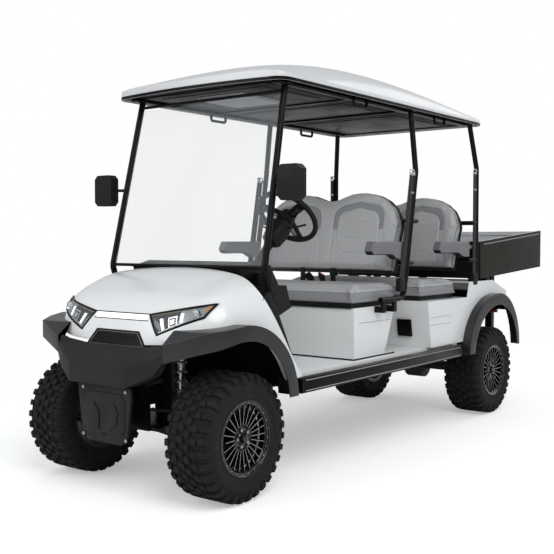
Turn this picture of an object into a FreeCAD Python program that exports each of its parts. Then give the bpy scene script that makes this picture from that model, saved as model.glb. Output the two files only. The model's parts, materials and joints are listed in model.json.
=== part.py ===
import FreeCAD, Part
import math
import os
import Sketcher
from types import SimpleNamespace

# Four-seat utility golf cart. X points forward, Y to the left, Z up, and the
# origin lies on the floor under the middle of the whole cart.
# Every setback is a distance behind the front axle, every reach one ahead of it,
# every level a height over the floor and every span a distance from the middle plane.
SIZES = {
    "overall": {
        "wheelbase": 2630,
        "front_overhang": 355,
        "rear_overhang": 870,
        "seat_gap": 0.3,
        "fit_gap": 0.4,
        "running_gap": 6,
        "overrun": 30,
    },
    "wheels": {
        "tyre_radius": 290,
        "tyre_width": 250,
        "track": 930,
        "tread_width": 190,
        "tread_depth": 13,
        "tyre_sides": 24,
        "lug_count": 24,
        "lug_length": 48,
        "lug_inner_span": 7,
        "lug_outer_span": 99,
        "lug_root": 15,
        "shoulder_drop": 12,
        "sidewall_share": 0.5,
        "rim_width": 230,
        "rim_radius": 170,
        "bead_radius": 151,
        "rim_wall": 6,
        "spoke_count": 22,
        "spoke_width": 7,
        "spoke_depth": 24,
        "hub_radius": 46,
        "hub_length": 70,
        "spindle_radius": 20,
        "spindle_length": 52,
        "drum_radius": 84,
        "drum_width": 28,
    },
    "steering": {
        "kingpin_inset": 90,
        "kingpin_radius": 9,
        "knuckle_width": 32,
        "knuckle_height": 130,
        "steer_arm_length": 88,
        "steer_arm_height": 14,
        "eye_radius": 19,
        "eye_height": 22,
        "rack_level": 243,
        "rack_radius": 11,
        "rack_housing_radius": 20,
        "rack_housing_span": 120,
        "tie_rod_span": 338,
        "wheel_setback": 695,
        "wheel_level": 1285,
        "wheel_side": 285,
        "wheel_grip_radius": 160,
        "grip_thickness": 14,
        "steering_hub_radius": 45,
        "steering_hub_depth": 46,
        "steering_spokes": 3,
        "column_tilt": 43,
        "column_radius": 22,
        "column_length": 330,
    },
    "frame": {
        "rail_level": 420,
        "rail_height": 79.4,
        "rail_width": 50,
        "rail_span": 280,
        "nose_rail_span": 135,
        "nose_rail_reach": 240,
        "nose_rail_setback": 480,
        "main_rail_setback": 420,
        "frame_tail_setback": 3290,
        "cross_width": 50,
        "mid_cross_setback": 1180,
        "seat_cross_setback": 1850,
        "axle_cross_setback": 2250,
        "tail_cross_setback": 3100,
        "outrigger_height": 50,
        "rocker_setback": 394,
        "rocker_tail_gap": 75,
        "rocker_span": 600,
        "rocker_width": 42,
        "rocker_level": 436,
        "rocker_height": 74,
        "tower_reach": 60,
        "tower_length": 70,
        "tower_level": 712,
        "tower_plate": 12,
        "tower_span": 285,
        "crossmember_length": 372,
        "crossmember_level": 300,
        "crossmember_plate": 14,
    },
    "suspension": {
        "arm_radius": 8,
        "lower_arm_level": 312,
        "upper_arm_level": 398,
        "arm_pivot_spread": 168,
        "coil_reach": 62,
        "coil_radius": 31,
        "coil_wire": 5,
        "coil_turns": 6,
        "damper_radius": 15,
        "coil_side": 245,
        "coil_seat_level": 290,
        "coil_seat_length": 108,
        "axle_tube_radius": 32,
        "gearbox_radius": 92,
        "gearbox_width": 120,
        "motor_radius": 78,
        "motor_length": 190,
        "leaf_width": 44,
        "leaf_thickness": 8,
        "leaf_half_length": 360,
        "shackle_height": 34,
    },
    "floor": {
        "floor_level": 520,
        "floor_thickness": 20,
        "floor_setback": 405,
        "floor_tail_setback": 2170,
        "floor_span": 530,
        "toe_level": 800,
        "toe_setback": 352,
        "toe_thickness": 8,
        "toe_span": 488,
    },
    "nose": {
        "nose_reach": 240,
        "nose_bottom": 655,
        "skirt_level": 512,
        "hood_level": 1037,
        "body_span": 575,
        "body_wall": 4,
        "hood_rear_setback": 204,
        "cowl_side_setback": 90,
        "cowl_side_level": 960,
        "cowl_foot_setback": 410,
        "cowl_foot_level": 518,
        "cowl_panel_top": 935,
        "cowl_panel_top_setback": 210,
        "cowl_panel_setback": 288,
        "cowl_panel_thickness": 18,
        "arch_reach": 35,
        "arch_level": 420,
        "flare_radius": 375,
        "flare_face": 70,
        "flare_wall": 6,
        "flare_span": 620,
        "flare_root_span": 500,
        "flare_seam_span": 345,
        "flare_seam_reach": 285,
        "flare_seam_level": 715,
        "flare_seam_height": 84,
        "flare_shoulder_reach": 215,
        "flare_shoulder_span": 548,
        "flare_shoulder_level": 770,
        "flare_bend_reach": 120,
        "flare_bend_span": 606,
        "flare_foot_level": 439,
    },
    "bumper": {
        "bumper_reach": 355,
        "bumper_bottom": 520,
        "bumper_crease": 610,
        "bumper_ledge_level": 652,
        "bumper_ledge": 50,
        "bumper_top": 690,
        "bumper_back": 250,
        "bumper_middle_span": 180,
        "bumper_wing_span": 300,
        "bumper_wing_reach": 305,
        "bumper_wing_bottom": 573,
        "bumper_wing_crease": 649,
        "skid_reach": 306,
        "skid_bottom": 250,
        "skid_top": 510,
        "skid_span": 150,
        "skid_top_span": 172,
        "skid_thickness": 14,
        "skid_corner": 46,
        "skid_recess": 5,
        "skid_border": 34,
    },
    "lamps": {
        "badge_level": 678,
        "badge_height": 78,
        "badge_span": 200,
        "badge_top_span": 140,
        "badge_depth": 26,
        "bar_level": 806,
        "bar_height": 24,
        "bar_span": 170,
        "bar_depth": 20,
        "lamp_inner_span": 245,
        "lamp_inner_bottom": 742,
        "lamp_top_span": 174,
        "lamp_inner_top": 830,
        "lamp_outer_span": 458,
        "lamp_outer_bottom": 828,
        "lamp_tip_span": 480,
        "lamp_tip_level": 886,
        "lamp_proud": 5,
        "lamp_depth": 60,
        "tail_lamp_span": 430,
        "tail_lamp_level": 690,
        "tail_lamp_width": 120,
        "tail_lamp_height": 60,
        "tail_lamp_depth": 22,
    },
    "dashboard": {
        "dash_span": 488,
        "dash_middle_span": 360,
        "dash_shelf_level": 948,
        "dash_shelf_setback": 415,
        "dash_shelf_foot": 362,
        "dash_shelf_drop": 66,
        "dash_top": 1060,
        "dash_front_setback": 215,
        "dash_front_level": 1031,
        "dash_crest_setback": 330,
        "dash_brow_setback": 455,
        "dash_brow_level": 1040,
        "dash_face_setback": 545,
        "dash_face_level": 905,
        "dash_foot_setback": 440,
        "dash_foot_level": 806,
        "dash_wall": 8,
        "cup_radius": 44,
        "cup_depth": 80,
        "cup_side": 410,
        "cup_setback": 342,
        "cup_proud": 60,
        "pedal_width": 70,
        "pedal_height": 90,
        "pedal_thickness": 10,
        "pedal_level": 560,
        "pedal_setback": 520,
        "brake_side": 330,
        "throttle_side": 190,
        "pedal_arm_radius": 8,
    },
    "canopy": {
        "post_radius": 16,
        "pillar_foot_setback": 209,
        "pillar_foot_span": 512,
        "pillar_foot_level": 1000,
        "pillar_top_setback": 413,
        "pillar_top_span": 481,
        "pillar_top_level": 1905,
        "glass_thickness": 5,
        "glass_bottom": 1045,
        "glass_top": 1860,
        "roof_setback": 250,
        "roof_tail_setback": 2480,
        "roof_span": 556,
        "roof_level": 1910,
        "roof_edge": 34,
        "roof_rise": 186,
        "roof_wall": 6,
        "roof_bow": 50,
        "roof_corner": 70,
        "crown_reach": 10,
        "liner_level": 1921,
        "liner_thickness": 12,
        "liner_margin": 36,
        "console_length": 330,
        "console_width": 300,
        "console_depth": 26,
        "middle_post_setback": 1580,
        "middle_post_span": 549,
        "middle_post_bend_level": 1560,
        "middle_post_knee_setback": 1443,
        "middle_post_knee_level": 836,
        "middle_post_toe_setback": 1190,
        "middle_post_bend": 70,
        "rear_post_setback": 2400,
        "rear_post_span": 547,
        "post_flange_radius": 34,
        "post_flange_height": 8,
        "handle_span": 500,
        "handle_length": 130,
        "handle_drop": 46,
        "handle_radius": 8,
        "front_handle_setback": 990,
        "rear_handle_setback": 1900,
        "mirror_setback": 275,
        "mirror_side": 622,
        "mirror_level": 1430,
        "mirror_width": 130,
        "mirror_height": 165,
        "mirror_depth": 52,
        "mirror_arm_radius": 8,
    },
    "seats": {
        "seat_span": 500,
        "box_level": 800,
        "box_wall": 6,
        "front_box_setback": 1000,
        "front_box_foot_length": 315,
        "front_box_length": 435,
        "battery_length": 240,
        "battery_span": 340,
        "battery_height": 220,
        "battery_setback": 1045,
        "tray_height": 26,
        "tray_margin": 14,
        "cushion_height": 84,
        "front_cushion_setback": 975,
        "cushion_length": 470,
        "rear_cushion_setback": 1735,
        "back_bottom": 985,
        "back_top": 1470,
        "back_thickness": 90,
        "back_lean": 12,
        "back_foot_share": 0.97,
        "back_span": 490,
        "front_back_setback": 1420,
        "rear_back_setback": 2180,
        "back_tube_radius": 14,
        "back_tube_level": 1036,
        "back_tube_rise": 240,
        "arm_span": 522,
        "arm_width": 56,
        "front_arm_setback": 1100,
        "front_arm_length": 355,
        "rear_arm_setback": 1890,
        "rear_arm_length": 420,
        "arm_height": 76,
        "arm_top": 1158,
        "arm_heel_share": 0.8,
        "arm_bracket_share": 0.9,
        "arm_dip_share": 0.62,
        "belt_box_width": 46,
        "belt_box_length": 40,
        "belt_box_height": 72,
        "belt_box_level": 1500,
        "buckle_height": 90,
        "buckle_width": 26,
        "buckle_length": 16,
        "buckle_side": 110,
        "buckle_setback": 400,
    },
    "tail": {
        "rear_box_setback": 1720,
        "rear_box_foot_setback": 1765,
        "rear_deck_setback": 2255,
        "rear_body_span": 560,
        "fender_level": 897,
        "fender_crest_setback": 2640,
        "fender_tail_level": 817,
        "fender_tail_setback": 2868,
        "rear_arch_radius": 340,
        "rear_arch_level": 440,
        "rear_flare_height": 370,
        "rear_flare_front": 450,
        "rear_flare_rear": 345,
        "rear_flare_face": 76,
        "rear_flare_span": 618,
        "arch_steps": 24,
        "socket_side": 393,
        "socket_level": 635,
        "socket_width": 96,
        "socket_height": 104,
        "socket_depth": 16,
        "bed_setback": 2450,
        "bed_length": 1050,
        "bed_span": 560,
        "bed_level": 912,
        "bed_tail_rise": 55,
        "bed_side_height": 244,
        "bed_tail_side_height": 270,
        "bed_wall": 24,
        "bed_floor": 18,
        "tailgate_thickness": 24,
        "tailgate_pin_radius": 6,
        "tailgate_pin_length": 26,
        "bed_rail_height": 44,
        "bed_rail_setback": 2905,
        "bed_rail_post": 50,
        "bed_pivot_setback": 3250,
        "bed_pivot_drop": 22,
        "bed_pivot_radius": 10,
        "bed_ear_thickness": 16,
        "bed_foot_setback": 2560,
        "bed_foot_length": 60,
    },
}

DOCUMENT = FreeCAD.newDocument("golf_cart")
SHEET = DOCUMENT.addObject("Spreadsheet::Sheet", "sizes")
NODES = {}
LEFT = 1
RIGHT = -1
X_AXIS = FreeCAD.Vector(1, 0, 0)
Y_AXIS = FreeCAD.Vector(0, 1, 0)
Z_AXIS = FreeCAD.Vector(0, 0, 1)


class Size(float):
    """A number that carries the sheet expression it comes from."""

    def __new__(cls, number, text=None):
        size = float.__new__(cls, number)
        size.text = text if text else repr(float(number))
        return size

    def __add__(self, other):
        return combine(self, "+", other, float(self) + float(other))

    def __radd__(self, other):
        return combine(other, "+", self, float(other) + float(self))

    def __sub__(self, other):
        return combine(self, "-", other, float(self) - float(other))

    def __rsub__(self, other):
        return combine(other, "-", self, float(other) - float(self))

    def __mul__(self, other):
        return combine(self, "*", other, float(self) * float(other))

    def __rmul__(self, other):
        return combine(other, "*", self, float(other) * float(self))

    def __truediv__(self, other):
        return combine(self, "/", other, float(self) / float(other))

    def __neg__(self):
        return Size(-float(self), f"(0 - {self.text})")


def combine(first, sign, second, number):
    return Size(number, f"({written(first)} {sign} {written(second)})")


def written(value):
    return value.text if isinstance(value, Size) else repr(float(value))


def fill_sheet():
    row = 0
    named = {}
    for heading, group in SIZES.items():
        row += 1
        SHEET.set(f"A{row}", heading)
        for alias, number in group.items():
            row += 1
            SHEET.set(f"A{row}", alias)
            SHEET.set(f"B{row}", str(number))
            SHEET.setAlias(f"B{row}", alias)
            named[alias] = row
    DOCUMENT.recompute()
    return SimpleNamespace(**{alias: Size(SHEET.get(alias), f"sizes.{alias}") for alias in named})


s = fill_sheet()

FRONT = (s.wheelbase + s.rear_overhang - s.front_overhang) / 2
REAR = FRONT - s.wheelbase
ROCKER_TAIL = REAR + s.rear_flare_front + s.rocker_tail_gap
WHEEL_SIDE = s.track / 2
KINGPIN = WHEEL_SIDE - s.kingpin_inset
RAIL_TOP = s.rail_level + s.rail_height
ZERO = Size(0, "0")
LITRE = 1e6


def behind(setback):
    """The x of a point that lies a setback behind the front axle."""
    return FRONT - setback


def ahead(reach):
    return FRONT + reach


def bind(thing, path, value):
    if isinstance(value, Size):
        thing.setExpression(path, value.text)
    else:
        setattr(thing, path, value)


def place(thing, x, y, z):
    bind(thing, "Placement.Base.x", Size(x, written(x)))
    bind(thing, "Placement.Base.y", Size(y, written(y)))
    bind(thing, "Placement.Base.z", Size(z, written(z)))


def publish(label, thing):
    """Gives a finished sub-part the name of its file."""
    thing.Label = label
    NODES[label] = thing
    return thing


def block(name, low, high):
    thing = DOCUMENT.addObject("Part::Box", name)
    bind(thing, "Length", high[0] - low[0])
    bind(thing, "Width", high[1] - low[1])
    bind(thing, "Height", high[2] - low[2])
    place(thing, *low)
    return thing


def fused(name, things):
    thing = DOCUMENT.addObject("Part::MultiFuse", name)
    thing.Shapes = things
    thing.Refine = True
    return thing


def mirrored(name, source):
    """The right-hand twin of a left-hand piece."""
    thing = DOCUMENT.addObject("Part::Mirroring", name)
    thing.Source = source
    thing.Normal = Y_AXIS
    return thing


def gathered(name, things):
    thing = DOCUMENT.addObject("Part::Compound", name)
    thing.Links = things
    return thing


def pair(label, source):
    """One node that holds a left-hand piece and its twin."""
    return publish(label, gathered(f"{label}_pair", [source, mirrored(f"{label}_right", source)]))


def shaped(name, shape):
    thing = DOCUMENT.addObject("Part::Feature", name)
    thing.Shape = shape
    return thing


def rod(start, end, radius):
    start = FreeCAD.Vector(*start)
    way = FreeCAD.Vector(*end) - start
    return Part.makeCylinder(radius, way.Length, start, way)


def joined(shapes):
    whole = shapes[0].fuse(shapes[1:]) if len(shapes) > 1 else shapes[0]
    return whole.removeSplitter()


def new_body(name):
    return DOCUMENT.addObject("PartDesign::Body", name)


def origin_plane(body, role):
    return next(plane for plane in body.Origin.OriginFeatures if plane.Role == role)


def outline(body, role, corners, offset=None):
    """A closed outline of straight sides, each corner held by its two sizes."""
    sketch = body.newObject("Sketcher::SketchObject", f"{body.Name}_outline")
    sketch.AttachmentSupport = [(origin_plane(body, role), "")]
    sketch.MapMode = "FlatFace"
    if offset is not None:
        bind(sketch, "AttachmentOffset.Base.z", Size(offset, written(offset)))
    count = len(corners)
    points = [FreeCAD.Vector(*corner, 0) for corner in corners]
    sides = [Part.LineSegment(points[i], points[(i + 1) % count]) for i in range(count)]
    sketch.addGeometry(sides, False)
    for i in range(count):
        sketch.addConstraint(Sketcher.Constraint("Coincident", i, 2, (i + 1) % count, 1))
    for i, corner in enumerate(corners):
        for kind, value in zip(("DistanceX", "DistanceY"), corner):
            held = sketch.addConstraint(Sketcher.Constraint(kind, -1, 1, i, 1, float(value)))
            sketch.setExpression(f"Constraints[{held}]", written(value))
    return sketch


def sweep(body, kind, sketch, length, midplane=True, flip=False):
    feature = body.newObject(f"PartDesign::{kind}", f"{body.Name}_{kind.lower()}")
    feature.Profile = sketch
    bind(feature, "Length", length)
    feature.Midplane = midplane
    feature.Reversed = flip
    return feature


def turned(body, kind, sketch):
    feature = body.newObject(f"PartDesign::{kind}", f"{body.Name}_{kind.lower()}")
    feature.Profile = sketch
    feature.ReferenceAxis = (sketch, ["H_Axis"])
    feature.Angle = 360
    return feature


def rounded(body, radius, chosen):
    """Rounds the edges of the body that a test picks."""
    DOCUMENT.recompute()
    base = body.Tip
    names = [f"Edge{i + 1}" for i, edge in enumerate(base.Shape.Edges) if chosen(edge)]
    feature = body.newObject("PartDesign::Fillet", f"{body.Name}_fillet")
    feature.Base = (base, names)
    bind(feature, "Radius", radius)
    return feature


def runs_along(axis):
    def test(edge):
        if not isinstance(edge.Curve, Part.Line):
            return False
        return abs(edge.Curve.Direction.dot(axis)) > math.cos(math.radians(1))
    return test


def plane_outline(points):
    return Part.Face(Part.makePolygon([FreeCAD.Vector(*p) for p in points + points[:1]]))


def chassis_frame():
    """Two rails with a narrow nose, cross tubes and outriggers."""
    half = s.rail_width / 2
    top = RAIL_TOP
    tubes = []
    for side in (LEFT, RIGHT):
        main = side * s.rail_span
        nose = side * s.nose_rail_span
        tubes.append(block("main_rail", (behind(s.frame_tail_setback), main - half, s.rail_level),
                           (behind(s.main_rail_setback), main + half, top)))
        tubes.append(block("nose_rail", (behind(s.nose_rail_setback), nose - half, s.rail_level),
                           (ahead(s.nose_rail_reach), nose + half, top)))
        for front in (behind(s.nose_rail_setback - s.cross_width), behind(s.mid_cross_setback),
                      ROCKER_TAIL + s.cross_width):
            inner = side * s.rail_span
            outer = side * (s.rocker_span - s.rocker_width - s.seat_gap)
            low, high = (inner, outer) if side == LEFT else (outer, inner)
            tubes.append(block("outrigger", (front - s.cross_width, low, top - s.outrigger_height),
                               (front, high, top)))
    reach = s.rail_span
    for setback in (s.nose_rail_setback - s.cross_width, s.mid_cross_setback, s.seat_cross_setback,
                    s.axle_cross_setback, s.tail_cross_setback, s.frame_tail_setback - s.cross_width):
        tubes.append(block("cross_tube", (behind(setback) - s.cross_width, -reach, s.rail_level),
                           (behind(setback), reach, top)))
    tubes.append(block("nose_tube", (ahead(s.nose_rail_reach) - s.cross_width, -s.nose_rail_span, s.rail_level),
                       (ahead(s.nose_rail_reach), s.nose_rail_span, top)))
    publish("chassis_frame", fused("chassis_tubes", tubes))


def front_subframe():
    """A trough under the nose rails with a tower on each side for the coil-over."""
    wide = s.nose_rail_span + s.rail_width / 2 + s.seat_gap
    deep = s.crossmember_length / 2
    plate = s.crossmember_plate
    under_rail = s.rail_level - s.seat_gap
    pieces = [block("trough_floor", (FRONT - deep, -wide, s.crossmember_level),
                    (FRONT + deep, wide, s.crossmember_level + plate))]
    for low_x, high_x in ((-deep, plate - deep), (deep - plate, deep)):
        pieces.append(block("trough_end", (FRONT + low_x, -wide, s.crossmember_level),
                            (FRONT + high_x, wide, under_rail)))
    front_x = ahead(s.tower_reach + s.tower_length / 2)
    back_x = ahead(s.tower_reach - s.tower_length / 2)
    top = s.tower_level + s.tower_plate
    outer = wide + s.tower_plate
    for low_y, high_y in ((wide, outer), (-outer, -wide)):
        pieces.append(block("tower_post", (back_x, low_y, s.crossmember_level), (front_x, high_y, top)))
    for low_y, high_y in ((wide, s.tower_span), (-s.tower_span, -wide)):
        pieces.append(block("tower_arm", (back_x, low_y, s.tower_level), (front_x, high_y, top)))
    publish("front_subframe", fused("subframe_plates", pieces))


def suspension_arm(level, eye_low, rod_end, fittings):
    """One V-shaped arm from its two pivots to the eye round the kingpin."""
    root = s.nose_rail_span + s.rail_width / 2 + s.arm_radius + s.seat_gap
    rods = [Part.makeCylinder(s.eye_radius, s.eye_height, FreeCAD.Vector(FRONT, KINGPIN, eye_low))]
    rods.extend(fittings)
    for way in (LEFT, RIGHT):
        start = (FRONT + way * s.arm_pivot_spread, root, level)
        end = (FRONT + way * s.arm_radius, KINGPIN - s.eye_radius / 2, rod_end)
        rods.append(rod(start, end, s.arm_radius))
        rods.append(Part.makeSphere(s.arm_radius, FreeCAD.Vector(*start)))
    pin = Part.makeCylinder(s.kingpin_radius + s.fit_gap, s.tyre_radius,
                            FreeCAD.Vector(FRONT, KINGPIN, eye_low - s.eye_height))
    return joined(rods).cut(pin)


def kingpin_levels():
    low = s.tyre_radius + s.running_gap - s.knuckle_height / 2 + s.running_gap
    return low, low + s.knuckle_height


def front_suspension():
    low, high = kingpin_levels()
    lower_eye = low - s.eye_height - s.seat_gap * 2
    upper_eye = high + s.seat_gap * 2
    corner = FreeCAD.Vector(ahead(s.coil_reach) - s.coil_seat_length / 2, s.coil_side - s.damper_radius,
                            s.coil_seat_level - s.arm_radius)
    coil_seat = Part.makeBox(s.coil_seat_length, s.damper_radius * 2, s.arm_radius, corner)
    lower = suspension_arm(s.lower_arm_level, lower_eye, lower_eye + s.arm_radius, [coil_seat])
    upper = suspension_arm(s.upper_arm_level, upper_eye, upper_eye + s.eye_height - s.arm_radius, [])
    left = shaped("left_arms", Part.makeCompound([lower, upper]))
    pair("front_suspension", left)


def coil_ring(level):
    """One turn of the spring as a ring of six-sided wire."""
    middle = s.coil_radius - s.coil_wire
    corners = []
    for i in range(6):
        angle = math.pi * i / 3
        corners.append((middle + s.coil_wire * math.cos(angle), 0, level + s.coil_wire * math.sin(angle)))
    return plane_outline(corners).revolve(FreeCAD.Vector(0, 0, 0), Z_AXIS, 360)


def coil_over(name):
    """A damper with its spring between the lower arm and its tower."""
    foot = FreeCAD.Vector(ahead(s.coil_reach), s.coil_side, s.coil_seat_level + s.seat_gap)
    length = s.tower_level - s.seat_gap - foot.z
    parts = [Part.makeCylinder(s.damper_radius, length)]
    cap = s.coil_wire * 2
    for level in (length / 3, length - cap * 2):
        parts.append(Part.makeCylinder(s.coil_radius, cap, FreeCAD.Vector(0, 0, level)))
    span = length - cap * 2 - length / 3
    for turn in range(1, int(s.coil_turns)):
        level = length / 3 + span * turn / s.coil_turns + cap / 2
        parts.append(coil_ring(level))
    width = s.coil_radius * 2 - s.coil_wire * 2
    parts.append(Part.makeBox(width, s.coil_wire, span, FreeCAD.Vector(-width / 2, -s.coil_wire / 2, length / 3)))
    thing = shaped(name, joined(parts))
    thing.Placement = FreeCAD.Placement(foot, FreeCAD.Rotation())
    return thing


def coil_overs():
    pair("coil_overs", coil_over("left_coil_over"))


def rear_axle():
    """Axle tube, gearbox and the motor on it, with the hub spindles."""
    level = s.tyre_radius
    tube_end = WHEEL_SIDE - s.hub_length / 2 - s.drum_width
    shapes = [Part.makeCylinder(s.axle_tube_radius, tube_end * 2, FreeCAD.Vector(REAR, -tube_end, level), Y_AXIS)]
    shapes.append(Part.makeCylinder(s.gearbox_radius, s.gearbox_width,
                                    FreeCAD.Vector(REAR, -s.gearbox_width / 2, level), Y_AXIS))
    motor_start = FreeCAD.Vector(REAR + s.gearbox_radius, -s.motor_length / 2, level + s.axle_tube_radius)
    shapes.append(Part.makeCylinder(s.motor_radius, s.motor_length, motor_start, Y_AXIS))
    for side in (LEFT, RIGHT):
        start = FreeCAD.Vector(REAR, side * (tube_end - s.seat_gap), level)
        shapes.append(Part.makeCylinder(s.drum_radius, s.drum_width - s.running_gap, start, Y_AXIS * side))
        reach = s.drum_width + s.spindle_length
        shapes.append(Part.makeCylinder(s.spindle_radius, reach, start, Y_AXIS * side))
    publish("rear_axle", shaped("axle_casting", joined(shapes)))


def leaf_springs():
    """A bent pack of leaves under each rail, hung from two shackles."""
    top = s.rail_level - s.seat_gap
    seat = s.tyre_radius + s.axle_tube_radius + s.seat_gap
    ends = top - s.shackle_height
    start = FreeCAD.Vector(REAR - s.leaf_half_length, 0, ends)
    middle = FreeCAD.Vector(REAR, 0, seat + s.leaf_thickness)
    finish = FreeCAD.Vector(REAR + s.leaf_half_length, 0, ends)
    inner = Part.Arc(start, middle, finish).toShape()
    outer_points = [p + FreeCAD.Vector(0, 0, -s.leaf_thickness) for p in (start, middle, finish)]
    outer = Part.Arc(*outer_points).toShape()
    sides = [Part.makeLine(start, outer_points[0]), Part.makeLine(finish, outer_points[2])]
    face = Part.Face(Part.Wire(Part.__sortEdges__([inner, outer] + sides)))
    leaf = face.extrude(FreeCAD.Vector(0, s.leaf_width, 0))
    leaf.translate(FreeCAD.Vector(0, s.rail_span - s.leaf_width / 2, 0))
    leaves = [leaf]
    for way in (LEFT, RIGHT):
        x = REAR + way * (s.leaf_half_length - s.leaf_thickness)
        corner = FreeCAD.Vector(x - s.leaf_thickness, s.rail_span - s.leaf_width / 2, ends - s.leaf_thickness)
        leaves.append(Part.makeBox(s.leaf_thickness * 2, s.leaf_width, top - corner.z, corner))
    pair("leaf_springs", shaped("left_leaf_spring", joined(leaves)))


def knuckle(side, label):
    """Upright with its kingpin, steering arm, brake drum and spindle."""
    low, high = kingpin_levels()
    half = s.knuckle_width / 2
    y = side * KINGPIN
    level = s.tyre_radius
    shapes = [Part.makeBox(s.knuckle_width, s.knuckle_width, high - low,
                           FreeCAD.Vector(FRONT - half, y - half, low))]
    pin_low = low - s.eye_height - s.seat_gap * 2
    pin_high = high + s.eye_height + s.seat_gap * 2
    shapes.append(Part.makeCylinder(s.kingpin_radius, pin_high - pin_low, FreeCAD.Vector(FRONT, y, pin_low)))
    drum_start = WHEEL_SIDE - s.hub_length / 2 - s.drum_width
    shapes.append(rod((FRONT, y, level), (FRONT, side * (drum_start + s.drum_width + s.spindle_length), level),
                      s.spindle_radius))
    shapes.append(rod((FRONT, side * drum_start, level),
                      (FRONT, side * (drum_start + s.drum_width - s.running_gap), level), s.drum_radius))
    arm_low = low + s.running_gap * 3
    arm_y = y - half if side == LEFT else y
    shapes.append(Part.makeBox(s.steer_arm_length + s.steer_arm_height / 2, half, s.steer_arm_height,
                               FreeCAD.Vector(FRONT - s.steer_arm_length - s.steer_arm_height / 2, arm_y, arm_low)))
    publish(label, shaped(f"{label}_casting", joined(shapes)))


def steering_rack():
    """The rack with both tie rods, which end under the steering arms."""
    x = behind(s.steer_arm_length)
    level = s.rack_level
    span = s.tie_rod_span
    bar = rod((x, -span, level), (x, span, level), s.rack_radius)
    publish("steering_rack", shaped("rack_bar", bar))


def rack_housing():
    x = behind(s.steer_arm_length)
    level = s.rack_level
    span = s.rack_housing_span
    tube = rod((x, -span, level), (x, span, level), s.rack_housing_radius)
    top = s.crossmember_level - s.seat_gap
    straps = []
    for side in (LEFT, RIGHT):
        y = side * span / 2
        corner = FreeCAD.Vector(x - s.rack_radius, y - s.rack_radius, level)
        straps.append(Part.makeBox(s.rack_radius * 2, s.rack_radius * 2, top - level, corner))
    bore = rod((x, -span - s.overrun, level), (x, span + s.overrun, level), s.rack_radius + s.fit_gap)
    publish("rack_housing", shaped("rack_tube", joined([tube] + straps).cut(bore)))


def tyre_carcass():
    """A flat-sided ring whose section runs from bead to bead, facing the floor with one flat."""
    sides = int(s.tyre_sides)
    grow = 1 / math.cos(math.pi / sides)
    half = s.tyre_width / 2
    bead = s.rim_width / 2 - s.rim_wall - s.seat_gap
    foot = (s.bead_radius + s.seat_gap) * grow
    base = s.tyre_radius - s.tread_depth
    rise = base - foot
    section = [(bead, foot), (bead, (s.rim_radius + s.running_gap / 2) * grow),
               (half, foot + rise * s.sidewall_share), (half - s.tread_depth / 2, base - s.shoulder_drop),
               (s.tread_width / 2, base)]
    section += [(-u, r) for u, r in reversed(section)]
    rings = []
    for i in range(sides):
        angle = math.pi * (2 * i + 1) / sides - math.pi / 2
        rings.append([(r * math.cos(angle), u, r * math.sin(angle)) for u, r in section])
    faces = []
    for i in range(sides):
        for j in range(len(section)):
            corners = [rings[i - 1][j - 1], rings[i - 1][j], rings[i][j], rings[i][j - 1]]
            faces.append(plane_outline(corners))
    shell = Part.makeShell(faces)
    shell.sewShape()
    ring = Part.makeSolid(shell)
    if ring.Volume < 0:
        ring.reverse()
    return ring


def tyre_solid():
    """The carcass with a row of broad lugs on each half of its tread, one row half a pitch on."""
    lugs = []
    count = int(s.lug_count)
    half = s.lug_length / 2
    tip = s.tyre_radius / math.cos(math.pi / count - math.atan(half / s.tyre_radius))
    crest = math.sqrt(tip ** 2 - half ** 2)
    root = s.tyre_radius - s.tread_depth - s.lug_root
    for side in (LEFT, RIGHT):
        low_y = s.lug_inner_span if side == LEFT else -s.lug_outer_span
        corner = FreeCAD.Vector(-half, low_y, -crest)
        lug = Part.makeBox(s.lug_length, s.lug_outer_span - s.lug_inner_span, crest - root, corner)
        for i in range(count):
            turn = 360 * i / count + (180 / count if side == RIGHT else 0)
            copy = lug.copy()
            copy.rotate(FreeCAD.Vector(0, 0, 0), Y_AXIS, turn)
            lugs.append(copy)
    return joined([tyre_carcass()] + lugs)


def tyre(shape, x, side, label):
    thing = shaped(label, shape)
    thing.Placement = FreeCAD.Placement(FreeCAD.Vector(x, side * WHEEL_SIDE, s.tyre_radius), FreeCAD.Rotation())
    publish(label, thing)


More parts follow.
